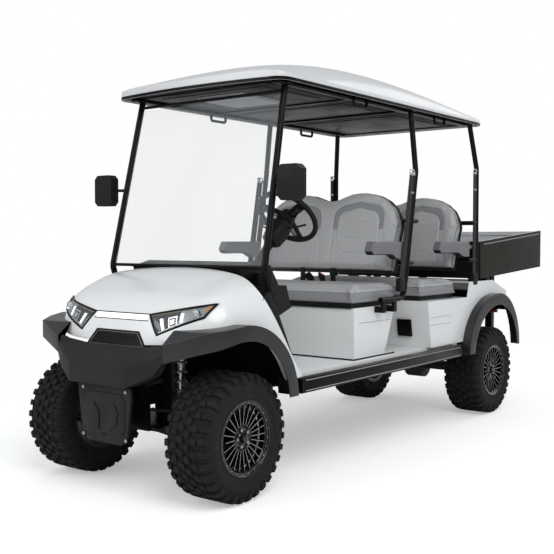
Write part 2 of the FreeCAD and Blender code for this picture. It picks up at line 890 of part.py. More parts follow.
def rim(x, side, label):
    """Barrel, thin spokes in a ring and the hub that they meet."""
    body = new_body(label)
    half = s.rim_width / 2
    barrel = s.bead_radius - s.rim_wall
    flange = half - s.rim_wall
    corners = [(-half, s.rim_radius), (-half, barrel), (half, barrel), (half, s.rim_radius),
               (flange, s.rim_radius), (flange, s.bead_radius), (-flange, s.bead_radius), (-flange, s.rim_radius)]
    turned(body, "Revolution", outline(body, "YZ_Plane", corners))
    face = half - s.spoke_depth
    spoke_outline = outline(body, "YZ_Plane",
                            [(side * face, s.hub_radius - s.rim_wall),
                             (side * (half - s.rim_wall), barrel + s.rim_wall / 2),
                             (side * (face - s.spoke_depth / 2), barrel + s.rim_wall / 2),
                             (side * (face - s.spoke_depth), s.hub_radius - s.rim_wall)])
    spoke = sweep(body, "Pad", spoke_outline, s.spoke_width)
    DOCUMENT.recompute()
    ring = body.newObject("PartDesign::PolarPattern", f"{label}_spokes")
    ring.Originals = [spoke]
    ring.Axis = (spoke_outline, ["H_Axis"])
    ring.Angle = 360
    bind(ring, "Occurrences", s.spoke_count)
    body.Tip = ring
    bore = s.spindle_radius + s.fit_gap
    drum_face = -s.hub_length / 2
    bore_end = drum_face + s.spindle_length + s.running_gap
    cap = half - s.rim_wall
    hub = outline(body, "YZ_Plane",
                  [(side * drum_face, bore), (side * drum_face, s.hub_radius), (side * cap, s.hub_radius),
                   (side * (cap + s.rim_wall), s.hub_radius / 2), (side * (cap + s.rim_wall), ZERO),
                   (side * bore_end, ZERO), (side * bore_end, bore)])
    turned(body, "Revolution", hub)
    place(body, x, side * WHEEL_SIDE, s.tyre_radius)
    publish(label, body)


HOOD_SHARES = (
    (0.0, 0.30, 0.06),
    (0.033, 0.56, 0.28),
    (0.071, 0.70, 0.45),
    (0.137, 0.81, 0.60),
    (0.261, 0.92, 0.735),
    (0.489, 0.962, 0.90),
    (0.72, 0.988, 0.99),
    (0.95, 1.0, 1.0),
    (1.20, 1.0, 1.0),
)
HOOD_SECTION_SHARES = ((0.0, 1.0), (0.35, 0.993), (0.65, 0.972), (0.86, 0.91), (0.965, 0.77), (1.0, 0.52), (1.0, 0.0))


def mirror_curve(half):
    """A smooth curve through a half outline and its mirror image across the middle plane."""
    left = [FreeCAD.Vector(x, y, z) for x, y, z in half]
    right = [FreeCAD.Vector(p.x, -p.y, p.z) for p in reversed(left[1:])]
    curve = Part.BSplineCurve()
    curve.interpolate(right + left)
    return curve.toShape()


def hood_solid(inset):
    """The nose and hood as one smooth solid, made smaller all round by the inset."""
    length = s.nose_reach + s.cowl_foot_setback
    wires = []
    for along_share, span_share, level_share in HOOD_SHARES:
        x = ahead(s.nose_reach) - length * along_share
        if along_share == HOOD_SHARES[0][0]:
            x = x - inset
        crown = s.nose_bottom + (s.hood_level - s.nose_bottom) * level_share - inset
        span = s.body_span * span_share - inset
        bottom = s.skirt_level - inset
        half = []
        for y_share, z_share in HOOD_SECTION_SHARES:
            half.append((x, span * y_share, bottom + (crown - bottom) * z_share))
        half[0] = (x, 0, half[0][2])
        top = mirror_curve(half)
        ends = (FreeCAD.Vector(x, span, bottom), FreeCAD.Vector(x, -span, bottom))
        wires.append(Part.Wire([top, Part.makeLine(*ends)]))
    return Part.makeLoft(wires, True, False)


def side_prism(points, low_y, high_y):
    """A side outline in x and z, drawn out from one y to another."""
    face = plane_outline([(x, low_y, z) for x, z in points])
    return face.extrude(FreeCAD.Vector(0, high_y - low_y, 0))


def plan_prism(points, low_z, high_z):
    face = plane_outline([(x, y, low_z) for x, y in points])
    return face.extrude(FreeCAD.Vector(0, 0, high_z - low_z))


def wide_cylinder(x, z, radius):
    """A cutter right across the cart, as for a pair of wheel arches."""
    start = FreeCAD.Vector(x, -s.flare_span - s.overrun, z)
    return Part.makeCylinder(radius, (s.flare_span + s.overrun) * 2, start, Y_AXIS)


def cowl_cutter():
    """All that lies behind the bowed and slanted rear edge of the hood."""
    slant_x = s.cowl_foot_setback - s.cowl_side_setback
    slant_z = s.cowl_side_level - s.cowl_foot_level
    lift = s.hood_level + s.overrun - s.cowl_side_level
    shift = lift * slant_x / slant_z
    top = s.cowl_side_level + lift
    edge = behind(s.cowl_side_setback) + shift
    middle = behind(s.hood_rear_setback) + shift * (s.overrun / lift)
    wide = s.body_span + s.overrun
    back = behind(s.wheelbase)
    bow = Part.Arc(FreeCAD.Vector(edge, -wide, top), FreeCAD.Vector(middle, 0, top),
                   FreeCAD.Vector(edge, wide, top)).toShape()
    rest = Part.makePolygon([FreeCAD.Vector(edge, wide, top), FreeCAD.Vector(back, wide, top),
                             FreeCAD.Vector(back, -wide, top), FreeCAD.Vector(edge, -wide, top)])
    face = Part.Face(Part.Wire([bow] + rest.Edges))
    drop = top - s.skirt_level + s.overrun
    return face.extrude(FreeCAD.Vector(-drop * slant_x / slant_z, 0, -drop))


def front_body():
    """White nose, hood and cowl sides: one hollow moulding, open below and behind."""
    outer = hood_solid(0)
    arch = wide_cylinder(ahead(s.arch_reach), s.arch_level, s.flare_radius - s.flare_face / 2)
    low = Part.makeBox(s.nose_reach + s.overrun, s.flare_span * 2, s.nose_bottom - s.skirt_level + s.overrun,
                       FreeCAD.Vector(ahead(s.arch_reach), -s.flare_span, s.skirt_level - s.overrun))
    shell = outer.cut([hood_solid(s.body_wall), arch, low, cowl_cutter()])
    publish("front_body", shaped("nose_shell", shell))
    return outer


def flare_bands(inset):
    """The side outline of the front flare: an arc over the wheel and a straight run to the bumper."""
    x = ahead(s.arch_reach)
    far = s.flare_radius + s.overrun
    ring = Part.makeCylinder(s.flare_radius - inset, s.flare_span * 2, FreeCAD.Vector(x, 0, s.arch_level), Y_AXIS)
    low = Part.makeBox(far * 2, s.flare_span * 2, s.flare_radius,
                       FreeCAD.Vector(x - far, 0, s.flare_foot_level - s.flare_radius))
    front = Part.makeBox(far, s.flare_span * 2, far * 2, FreeCAD.Vector(x, 0, s.arch_level - far))
    band = ring.cut([low, front])
    top = s.arch_level + s.flare_radius - inset
    height = s.flare_seam_height
    run = [(x, top), (ahead(s.flare_shoulder_reach), s.flare_shoulder_level - inset),
           (ahead(s.flare_seam_reach), s.flare_seam_level - inset),
           (ahead(s.flare_seam_reach), s.flare_seam_level - height - s.overrun * (inset > 0)),
           (ahead(s.flare_shoulder_reach), s.flare_shoulder_level - height - s.overrun * (inset > 0)),
           (x, s.arch_level + s.flare_radius - s.flare_face - s.overrun * (inset > 0))]
    return band.fuse(side_prism(run, 0, s.flare_span * 2))


def front_flare_solid(inset):
    outer = s.flare_span - inset
    root = s.flare_root_span
    plan = [(behind(s.cowl_foot_setback) - s.overrun, root), (behind(s.cowl_foot_setback) - s.overrun, outer),
            (ahead(s.arch_reach), outer), (ahead(s.flare_bend_reach) - inset / 2, s.flare_bend_span - inset),
            (ahead(s.flare_shoulder_reach) - inset, s.flare_shoulder_span - inset),
            (ahead(s.flare_seam_reach) - inset, s.flare_seam_span),
            (ahead(s.bumper_back) - s.flare_face, s.flare_seam_span),
            (ahead(s.arch_reach), root)]
    return flare_bands(inset).common(plan_prism(plan, 0, s.hood_level))


def front_flares(hood):
    """Dark arch mouldings, each an outer lip with a shelf back to the white side."""
    inner_band = Part.makeCylinder(s.flare_radius - s.flare_face, s.flare_span * 2,
                                   FreeCAD.Vector(ahead(s.arch_reach), 0, s.arch_level), Y_AXIS)
    shape = front_flare_solid(0).cut([front_flare_solid(s.flare_wall), inner_band, hood])
    solid = max(shape.Solids, key=lambda part: part.Volume)
    pair("front_flares", shaped("left_front_flare", solid))


def front_bumper():
    """A faceted bumper whose ends rise to meet the arch mouldings."""
    body = new_body("front_bumper")
    back = ahead(s.bumper_back)
    face = ahead(s.bumper_reach)
    ledge = s.bumper_ledge
    middle = [(back, s.bumper_bottom), (face, s.bumper_bottom), (face, s.bumper_crease),
              (face - ledge, s.bumper_ledge_level), (back + ledge / 5, s.bumper_top), (back, s.bumper_top)]
    face = ahead(s.bumper_wing_reach)
    wing_top = (s.bumper_top + s.flare_seam_level) / 2
    wing = [(back, s.bumper_wing_bottom), (face, s.bumper_wing_bottom), (face, s.bumper_wing_crease),
            (face - ledge / 3, wing_top - ledge / 2), (back + ledge / 4, wing_top), (back, wing_top)]
    face = ahead(s.flare_seam_reach)
    low = s.flare_seam_level - s.flare_seam_height
    end = [(back, low), (face, low), (face, low + s.flare_seam_height / 2),
           (face - ledge / 6, s.flare_seam_level - ledge / 2), (back + ledge / 3, s.flare_seam_level),
           (back, s.flare_seam_level)]
    stations = [(-s.flare_seam_span + s.seat_gap, end), (-s.bumper_wing_span, wing), (-s.bumper_middle_span, middle),
                (s.bumper_middle_span, middle), (s.bumper_wing_span, wing), (s.flare_seam_span - s.seat_gap, end)]
    sketches = [outline(body, "XZ_Plane", corners, -place_y) for place_y, corners in stations]
    loft = body.newObject("PartDesign::AdditiveLoft", "bumper_loft")
    loft.Profile = sketches[0]
    loft.Sections = sketches[1:]
    loft.Ruled = True
    publish("front_bumper", body)


def skid_plate():
    """A bare shield below the bumper with a raised border and a six-sided recess."""
    top = s.skid_top
    body = new_body("skid_plate")
    span = s.skid_span
    corners = [(-span + s.skid_corner, s.skid_bottom), (span - s.skid_corner, s.skid_bottom),
               (span, s.skid_bottom + s.skid_corner), (s.skid_top_span, top - s.skid_corner),
               (s.skid_top_span, top), (-s.skid_top_span, top), (-s.skid_top_span, top - s.skid_corner),
               (-span, s.skid_bottom + s.skid_corner)]
    sweep(body, "Pad", outline(body, "YZ_Plane", corners, ahead(s.skid_reach) - s.skid_thickness),
          s.skid_thickness, midplane=False)
    rim = s.skid_border
    reach = span - rim
    recess = [(ZERO, s.skid_bottom + rim), (reach, s.skid_bottom + rim * 2), (reach, top - rim * 2),
              (ZERO, top - rim), (-reach, top - rim * 2), (-reach, s.skid_bottom + rim * 2)]
    sweep(body, "Pocket", outline(body, "YZ_Plane", recess, ahead(s.skid_reach)), s.skid_recess, midplane=False)
    rounded(body, s.skid_thickness / 2, runs_along(X_AXIS))
    publish("skid_plate", body)


def skid_struts():
    """Two arms that hang the shield from the nose tube of the frame."""
    arms = []
    for side in (LEFT, RIGHT):
        y = side * s.nose_rail_span
        low_y = y - s.tower_plate / 2
        arms.append(block("skid_arm", (ahead(s.nose_rail_reach) + s.seat_gap, low_y, s.rail_level),
                          (ahead(s.skid_reach) - s.skid_thickness - s.seat_gap, low_y + s.tower_plate, RAIL_TOP)))
    publish("skid_struts", gathered("skid_arms", arms))


def bumper_mounts():
    """Uprights from the nose tube that carry the bumper."""
    posts = []
    for side in (LEFT, RIGHT):
        y = side * s.nose_rail_span
        low_y = y - s.rail_width / 2
        x = ahead(s.nose_rail_reach) - s.cross_width
        posts.append(block("bumper_post", (x, low_y, RAIL_TOP + s.seat_gap),
                           (ahead(s.bumper_back) - s.seat_gap, low_y + s.rail_width,
                            s.bumper_crease)))
    publish("bumper_mounts", gathered("bumper_posts", posts))


def badge_plate(hood):
    """The bare dark plate on the nose."""
    face = [(-s.badge_span, s.badge_level), (s.badge_span, s.badge_level),
            (s.badge_top_span, s.badge_level + s.badge_height), (-s.badge_top_span, s.badge_level + s.badge_height)]
    start = ahead(s.nose_reach) - s.badge_depth * 2
    plate = plane_outline([(start, y, z) for y, z in face]).extrude(FreeCAD.Vector(s.badge_depth * 3, 0, 0))
    grown = hood_solid(-s.lamp_proud)
    publish("badge_plate", shaped("plate", largest(plate.common(grown).cut(hood))))


def largest(shape):
    return max(shape.Solids, key=lambda part: part.Volume)


def light_bar():
    """The white lamp strip between the headlamps."""
    start = FreeCAD.Vector(ahead(s.nose_reach) - s.bar_depth * 4, -s.bar_span, s.bar_level)
    bar = Part.makeBox(s.bar_depth * 6, s.bar_span * 2, s.bar_height, start)
    strip = bar.common(hood_solid(-s.lamp_proud)).cut(hood_solid(s.body_wall + s.bar_depth / 2))
    publish("light_bar", shaped("lamp_strip", largest(strip)))
    return strip


def headlamp_prism(grow):
    """The swept wedge that both a headlamp and its opening are cut with."""
    face = [(s.lamp_inner_span - grow, s.lamp_inner_bottom - grow),
            (s.lamp_outer_span + grow, s.lamp_outer_bottom - grow),
            (s.lamp_tip_span + grow, s.lamp_tip_level + grow), (s.lamp_top_span - grow, s.lamp_inner_top + grow)]
    start = ahead(-s.lamp_depth * 2)
    depth = s.nose_reach + s.lamp_depth * 4
    return plane_outline([(start, y, z) for y, z in face]).extrude(FreeCAD.Vector(depth, 0, 0))


def headlamps():
    """A lamp unit in the nose on each side, with a clear front a little proud."""
    whole = headlamp_prism(0).common(hood_solid(-s.lamp_proud))
    unit = whole.cut(hood_solid(s.lamp_depth))
    pair("headlamps", shaped("left_headlamp", largest(unit)))


def nose_openings(shell_node):
    """Cuts the lamp openings through the nose moulding."""
    shape = shell_node.Shape
    prism = headlamp_prism(s.seat_gap)
    twin = prism.mirror(FreeCAD.Vector(0, 0, 0), Y_AXIS)
    start = FreeCAD.Vector(ahead(s.nose_reach) - s.bar_depth * 4, -s.bar_span - s.seat_gap,
                           s.bar_level - s.seat_gap)
    bar = Part.makeBox(s.bar_depth * 6, (s.bar_span + s.seat_gap) * 2, s.bar_height + s.seat_gap * 2, start)
    shell_node.Shape = largest(shape.cut([prism, twin, bar]))


def dashboard(nose_shell):
    """The dark dash moulding below the windshield, hollow from beneath."""
    wall = s.dash_wall
    side = [(behind(s.dash_front_setback), s.dash_front_level), (behind(s.dash_crest_setback), s.dash_top),
            (behind(s.dash_brow_setback), s.dash_brow_level), (behind(s.dash_face_setback), s.dash_face_level),
            (behind(s.dash_foot_setback), s.dash_foot_level), (behind(s.dash_crest_setback), s.dash_foot_level)]
    inner = [(behind(s.dash_front_setback + wall), s.dash_front_level - wall * 2),
             (behind(s.dash_crest_setback), s.dash_top - wall),
             (behind(s.dash_brow_setback - wall / 2), s.dash_brow_level - wall),
             (behind(s.dash_face_setback - wall - wall / 2), s.dash_face_level + wall / 2),
             (behind(s.dash_foot_setback - wall / 2), s.dash_foot_level + wall),
             (behind(s.dash_foot_setback - wall), s.dash_foot_level - s.overrun),
             (behind(s.dash_crest_setback - wall * 2), s.dash_foot_level - s.overrun)]
    span = s.dash_middle_span
    shape = side_prism(side, -span, span).cut(side_prism(inner, wall - span, span - wall))
    shelf = [(behind(s.dash_front_setback), s.dash_shelf_level), (behind(s.dash_shelf_setback), s.dash_shelf_level),
             (behind(s.dash_brow_setback), s.dash_face_level - s.dash_shelf_drop),
             (behind(s.dash_shelf_foot), s.dash_foot_level), (behind(s.dash_front_setback), s.dash_foot_level)]
    for way in (LEFT, RIGHT):
        low, high = sorted((way * (span - wall), way * s.dash_span))
        shape = shape.fuse(side_prism(shelf, low, high))
        centre = FreeCAD.Vector(behind(s.cup_setback), way * s.cup_side, s.dash_shelf_level - wall)
        cup = Part.makeCylinder(s.cup_radius, s.cup_proud + wall, centre)
        well = Part.makeCylinder(s.cup_radius - wall / 2, s.cup_depth + s.overrun,
                                 centre + Z_AXIS * (s.cup_proud + wall - s.cup_depth))
        shape = shape.fuse(cup).cut(well)
    x, y, z = pillar_point(s.glass_bottom - s.post_radius / 2)
    bar = rod((x, -y, z), (x, y, z), s.post_radius / 2 + s.seat_gap)
    shape = shape.removeSplitter().cut([nose_shell, bar])
    publish("dashboard", shaped("dash_moulding", largest(shape)))


def cowl_panels(nose_shell):
    """A dark strip on each side that closes the gap from the hood's rear edge to the pillar."""
    slope = (s.cowl_foot_setback - s.cowl_side_setback) / (s.cowl_side_level - s.cowl_foot_level)
    low = s.floor_level + s.seat_gap
    high = s.cowl_panel_top
    edge = []
    for level in (low, high):
        edge.append((behind(s.cowl_foot_setback - slope * (level - s.cowl_foot_level)) - s.seat_gap, level))
    rear = [(behind(s.cowl_panel_top_setback), high), (behind(s.cowl_panel_setback), s.dash_foot_level),
            (behind(s.floor_setback + s.post_radius * 2), low)]
    inner = s.pillar_foot_span + s.post_radius + s.seat_gap
    panel = side_prism(edge + rear, inner, inner + s.cowl_panel_thickness).cut(nose_shell)
    pair("cowl_panels", shaped("left_cowl_panel", largest(panel)))


def pedals():
    """Brake and throttle pads, each on an arm from the toe board."""
    pads = []
    slope = (s.toe_setback - s.floor_setback) / (s.toe_level - s.floor_level)
    for side in (s.brake_side, s.throttle_side):
        x = behind(s.pedal_setback)
        low = FreeCAD.Vector(x, side - s.pedal_width / 2, s.pedal_level)
        pad = Part.makeBox(s.pedal_thickness, s.pedal_width, s.pedal_height, low)
        arm_level = s.pedal_level + s.pedal_height / 2
        wall_x = behind(s.floor_setback + slope * (arm_level - s.floor_level)) - s.seat_gap
        wall_x = wall_x + slope * s.pedal_arm_radius * 2
        arm = rod((x + s.pedal_thickness / 2, side, arm_level), (wall_x, side, arm_level), s.pedal_arm_radius)
        foot = Part.makeCylinder(s.pedal_arm_radius * 2, s.pedal_thickness / 2,
                                 FreeCAD.Vector(wall_x - s.pedal_thickness / 2, side, arm_level), X_AXIS)
        pads.append(joined([pad, arm, foot]))
    publish("pedals", shaped("pedal_pads", Part.makeCompound(pads)))


def floor_pan():
    """Flat floor that turns up into the toe board."""
    top = s.floor_level
    low = top - s.floor_thickness
    toe = s.toe_thickness
    flat = [(behind(s.floor_tail_setback), low), (behind(s.floor_setback - toe), low),
            (behind(s.floor_setback - toe), top), (behind(s.floor_tail_setback), top)]
    slope = [(behind(s.floor_setback), low), (behind(s.floor_setback - toe), low),
             (behind(s.floor_setback - toe), top), (behind(s.toe_setback - toe), s.toe_level),
             (behind(s.toe_setback), s.toe_level), (behind(s.floor_setback), top)]
    body = new_body("floor_pan")
    sweep(body, "Pad", outline(body, "XZ_Plane", flat), s.floor_span * 2)
    sweep(body, "Pad", outline(body, "XZ_Plane", slope), s.toe_span * 2)
    publish("floor_pan", body)


def rocker_panels():
    """A deep step rail along each side of the floor."""
    body = new_body("left_rocker")
    outer = s.rocker_span
    inner = outer - s.rocker_width
    top = s.rocker_level + s.rocker_height
    edge = s.running_gap
    section = [(inner, s.rocker_level), (outer - edge, s.rocker_level), (outer, s.rocker_level + edge),
               (outer, top - edge), (outer - edge, top), (inner, top)]
    length = behind(s.rocker_setback) - ROCKER_TAIL
    sweep(body, "Pad", outline(body, "YZ_Plane", section, ROCKER_TAIL), length, midplane=False)
    pair("rocker_panels", body)


def seat_box(label, corners, span):
    """An open-bottomed box of plastic sheet with one side outline."""
    wall = s.box_wall
    body = new_body(label)
    sweep(body, "Pad", outline(body, "XZ_Plane", corners), span * 2)
    rounded(body, s.running_gap * 2, lambda edge: runs_along(Y_AXIS)(edge)
            and edge.Vertexes[0].Point.z > s.box_level - s.overrun)
    inner = [(corners[0][0] - wall, corners[0][1] - s.overrun)]
    inner.append((corners[1][0] - wall, corners[1][1] - wall))
    inner.append((corners[2][0] + wall, corners[2][1] - wall))
    inner.append((corners[3][0] + wall, corners[3][1] - s.overrun))
    sweep(body, "Pocket", outline(body, "XZ_Plane", inner), (span - wall) * 2)
    return body


def front_seat_box():
    foot = s.floor_level + s.seat_gap
    x = behind(s.front_box_setback)
    corners = [(x, foot), (x, s.box_level), (x - s.front_box_length, s.box_level),
               (x - s.front_box_foot_length, foot)]
    publish("front_seat_box", seat_box("front_box", corners, s.seat_span))


def battery_pack():
    x = behind(s.battery_setback)
    low = (x - s.battery_length, -s.battery_span, s.floor_level + s.seat_gap)
    publish("battery_pack", block("battery_case", low, (x, s.battery_span, low[2] + s.battery_height)))


def rear_outline(inset, foot):
    """Side outline of the rear body, from the passengers' seat box to the tail."""
    return [(behind(s.rear_box_foot_setback) - inset, foot),
            (behind(s.rear_box_setback) - inset, s.box_level - inset),
            (behind(s.rear_deck_setback) + inset / 2, s.box_level - inset),
            (behind(s.rear_deck_setback + s.overrun) + inset / 2, s.fender_level - inset),
            (behind(s.fender_crest_setback), s.fender_level - inset),
            (behind(s.fender_tail_setback) + inset, s.fender_tail_level - inset),
            (behind(s.fender_tail_setback) + inset, foot)]


def rear_body():
    """Rear seat box and fenders in one hollow moulding with its wheel arches cut."""
    wall = s.box_wall
    span = s.rear_body_span
    foot = s.floor_level + s.seat_gap
    outer = side_prism(rear_outline(ZERO, foot), -span, span)
    inner = side_prism(rear_outline(wall, foot - s.overrun), wall - span, span - wall)
    arch = wide_cylinder(REAR, s.rear_arch_level, s.rear_arch_radius)
    shell = outer.cut([inner, arch])
    publish("rear_body", shaped("rear_shell", largest(shell)))
    return outer


def half_round(x, z, front, rear, height):
    """Two quarter ellipses that share one crown, closed along their chord."""
    steps = int(s.arch_steps)
    points = []
    for i in range(steps + 1):
        angle = math.pi * i / steps
        reach = front if angle < math.pi / 2 else rear
        points.append((x + reach * math.cos(angle), z + height * math.sin(angle)))
    return points


def rear_flares(body):
    """Dark arch mouldings over the rear wheels, longer in front than behind."""
    z = s.rear_arch_level
    outer_y = s.rear_flare_span
    root = s.rear_body_span - s.box_wall
    wall = s.flare_wall
    face = s.rear_flare_face
    whole = side_prism(half_round(REAR, z, s.rear_flare_front, s.rear_flare_rear, s.rear_flare_height),
                       root, outer_y)
    hollow = side_prism(half_round(REAR, z - s.overrun, s.rear_flare_front - wall, s.rear_flare_rear - wall,
                                   s.rear_flare_height - wall + s.overrun), root - s.overrun, outer_y - wall)
    hole = side_prism(half_round(REAR, z - s.overrun, s.rear_flare_front - face, s.rear_flare_rear - face / 2,
                                 s.rear_flare_height - face + s.overrun), root - s.overrun, outer_y + s.overrun)
    shape = whole.cut([hollow, hole, body])
    pair("rear_flares", shaped("left_rear_flare", largest(shape)))


def charging_socket():
    """Dark socket housing on the front of the rear seat box."""
    slope = (s.rear_box_setback - s.rear_box_foot_setback) / (s.box_level - s.floor_level)
    low = s.socket_level - s.socket_height / 2
    x_low = behind(s.rear_box_foot_setback + slope * (low - s.floor_level)) + s.seat_gap
    x_high = behind(s.rear_box_foot_setback + slope * (low + s.socket_height - s.floor_level)) + s.seat_gap
    side = [(x_low, low), (x_low + s.socket_depth, low), (x_high + s.socket_depth, low + s.socket_height),
            (x_high, low + s.socket_height)]
    body = new_body("socket_case")
    sweep(body, "Pad", outline(body, "XZ_Plane", side, -s.socket_side), s.socket_width)
    publish("charging_socket", body)


def tail_lamps():
    low = (behind(s.fender_tail_setback) - s.seat_gap - s.tail_lamp_depth, s.tail_lamp_span - s.tail_lamp_width / 2,
           s.tail_lamp_level - s.tail_lamp_height / 2)
    high = (behind(s.fender_tail_setback) - s.seat_gap, s.tail_lamp_span + s.tail_lamp_width / 2,
            s.tail_lamp_level + s.tail_lamp_height / 2)
    pair("tail_lamps", block("left_tail_lamp", low, high))


def seat_trays():
    """Dark trays between the seat boxes and their cushions."""
    trays = []
    low = s.box_level + s.seat_gap
    for setback in (s.front_cushion_setback, s.rear_cushion_setback):
        x = behind(setback + s.tray_margin)
        length = s.cushion_length - s.tray_margin * 2
        span = s.seat_span - s.tray_margin
        trays.append(block("tray", (x - length, -span, low), (x, span, low + s.tray_height)))
    publish("seat_trays", gathered("trays", trays))


def cushion_base():
    return s.box_level + s.tray_height + s.seat_gap * 2


def cushion(label, setback):
    low = cushion_base()
    x = behind(setback)
    top = low + s.cushion_height
    nose = s.cushion_height / 3
    side = [(x - s.cushion_length, low), (x - nose / 2, low), (x, low + nose), (x - nose / 3, top - nose / 3),
            (x - nose, top), (x - s.cushion_length, top)]
    body = new_body(label)
    sweep(body, "Pad", outline(body, "XZ_Plane", side), s.seat_span * 2)
    publish(label, body)


BACK_TOP_SHARES = ((0.0, 0.925), (0.25, 0.955), (0.55, 1.0), (0.80, 0.985), (0.95, 0.91), (1.0, 0.80))


def backrest(label, setback):
    """A bench back with two humps, leaning to the rear."""
    height = s.back_top - s.back_bottom
    body = new_body(label)
    half = [(s.back_span * y_share, height * z_share) for y_share, z_share in BACK_TOP_SHARES]
    corners = [(s.back_span * s.back_foot_share, ZERO)]
    corners += [(u, v) for u, v in reversed(half)]
    corners += [(-u, v) for u, v in half[1:]]
    corners.append((-(s.back_span * s.back_foot_share), ZERO))
    sweep(body, "Pad", outline(body, "YZ_Plane", corners, -s.back_thickness), s.back_thickness, midplane=False)
    body.Placement.Rotation = FreeCAD.Rotation(Y_AXIS, -float(s.back_lean))
    place(body, behind(setback), ZERO, s.back_bottom)
    publish(label, body)


def back_rear_x(setback, level):
    """Where the rear face of a leaning back stands at one level."""
    lean = math.radians(s.back_lean)
    return behind(setback) - (level - s.back_bottom) * math.tan(lean) - s.back_thickness / math.cos(lean)


def middle_post_x(level):
    rise = s.middle_post_bend_level - s.middle_post_knee_level
    run = s.middle_post_setback - s.middle_post_knee_setback
    return behind(s.middle_post_knee_setback + run * (level - s.middle_post_knee_level) / rise)


def post_envelopes(side):
    """The straight runs of both posts on one side, grown by the seating gap."""
    radius = s.post_radius + s.seat_gap
    y = side * s.middle_post_span
    low = s.middle_post_knee_level
    high = s.middle_post_bend_level
    middle = rod((middle_post_x(low), y, low), (middle_post_x(high), y, high), radius)
    x = behind(s.rear_post_setback)
    y = side * s.rear_post_span
    rear = rod((x, y, s.box_level), (x, y, s.roof_level), radius)
    return [middle, rear]


def back_frames():
    """Cross tubes behind each back, turned in to the posts at both ends."""
    posts = post_envelopes(LEFT) + post_envelopes(RIGHT)
    tubes = []
    radius = s.back_tube_radius
    for level in (s.back_tube_level, s.back_tube_level + s.back_tube_rise):
        for setback, post_x, span, way in (
                (s.front_back_setback, middle_post_x(level), s.middle_post_span, LEFT),
                (s.rear_back_setback, behind(s.rear_post_setback), s.rear_post_span, RIGHT)):
            x = back_rear_x(setback, level) - (radius + s.seat_gap) / math.cos(math.radians(s.back_lean))
            near = post_x - way * s.post_radius / 2
            shapes = [rod((x, -span, level), (x, span, level), radius)]
            for side in (LEFT, RIGHT):
                shapes.append(Part.makeSphere(radius, FreeCAD.Vector(x, side * span, level)))
                shapes.append(rod((x, side * span, level), (near, side * span, level), radius))
            tubes.append(largest(joined(shapes).cut(posts)))
    publish("back_frames", shaped("back_tubes", Part.makeCompound(tubes)))


def armrests():
    """A padded arm at each side of both benches, on a bracket to its post."""
    arms = []
    top = s.arm_top
    low = top - s.arm_height
    middle = (top + low) / 2
    width = s.arm_width
    for setback, length, post_x, post_span in (
            (s.front_arm_setback, s.front_arm_length, middle_post_x(middle), s.middle_post_span),
            (s.rear_arm_setback, s.rear_arm_length, behind(s.rear_post_setback), s.rear_post_span)):
        x = behind(setback)
        drop = s.arm_height / 3
        side = [(x - length, low - drop), (x - length * s.arm_heel_share, low - drop),
                (x - length * s.arm_dip_share, low),
                (x - drop, low), (x, low + drop), (x - drop, top), (x - length, top)]
        inner = s.arm_span - width / 2
        pad = side_prism(side, inner, inner + width)
        bracket_low = FreeCAD.Vector(post_x, post_span - width / 2, middle - width / 4)
        bracket = Part.makeBox(x - length * s.arm_bracket_share - post_x, width / 2, width / 2, bracket_low)
        arms.append(largest(pad.fuse(bracket).removeSplitter().cut(post_envelopes(LEFT))))
    left = shaped("left_armrests", Part.makeCompound(arms))
    pair("armrests", left)


def tube_route(points, bend, radius):
    """A round tube along straight runs joined by tangent arcs."""
    points = [FreeCAD.Vector(*p) for p in points]
    edges = []
    start = points[0]
    for before, corner, after in zip(points, points[1:], points[2:]):
        way_in = (before - corner).normalize()
        way_out = (after - corner).normalize()
        half = way_in.getAngle(way_out) / 2
        back = bend / math.tan(half)
        first = corner + way_in * back
        last = corner + way_out * back
        centre = corner + (way_in + way_out).normalize() * (bend / math.sin(half))
        crown = centre + (corner - centre).normalize() * bend
        edges.append(Part.makeLine(start, first))
        edges.append(Part.Arc(first, crown, last).toShape())
        start = last
    edges.append(Part.makeLine(start, points[-1]))
    path = Part.Wire(edges)
    way = points[1] - points[0]
    ring = Part.Wire([Part.makeCircle(radius, points[0], way)])
    return path.makePipeShell([ring], True, False)


def middle_posts():
    """Posts beside the front bench, each bent forward into a foot along the seat box."""
    top = s.liner_level - s.seat_gap
    span = s.middle_post_span
    tuck = s.liner_margin
    route = [(behind(s.middle_post_setback), span - tuck, top),
             (behind(s.middle_post_setback), span, s.middle_post_bend_level),
             (behind(s.middle_post_knee_setback), span, s.middle_post_knee_level),
             (behind(s.middle_post_toe_setback), span, s.middle_post_knee_level)]
    tube = tube_route(route, s.middle_post_bend, s.post_radius)
    shapes = [tube.common(side_slab(s.floor_level, top)), post_flange(route[0])]
    for setback in (s.middle_post_toe_setback + s.post_flange_radius, s.middle_post_knee_setback
                    - s.middle_post_bend - s.post_flange_radius):
        x = behind(setback)
        corner = FreeCAD.Vector(x - s.post_radius, s.seat_span + s.seat_gap,
                                s.middle_post_knee_level - s.middle_post_bend)
        plate_height = s.box_level - s.seat_gap - corner.z
        shapes.append(Part.makeBox(s.post_radius * 2, span - s.seat_span, plate_height, corner))
        neck = FreeCAD.Vector(x - s.post_radius, span - s.post_radius / 2, corner.z)
        shapes.append(Part.makeBox(s.post_radius * 2, s.post_radius, s.middle_post_knee_level - corner.z, neck))
    pair("middle_posts", shaped("left_middle_post", joined(shapes)))


def post_flange(point):
    """The round plate that fixes a post to the roof liner."""
    x, y, z = point
    return Part.makeCylinder(s.post_flange_radius, s.post_flange_height,
                             FreeCAD.Vector(x, y, z - s.post_flange_height))


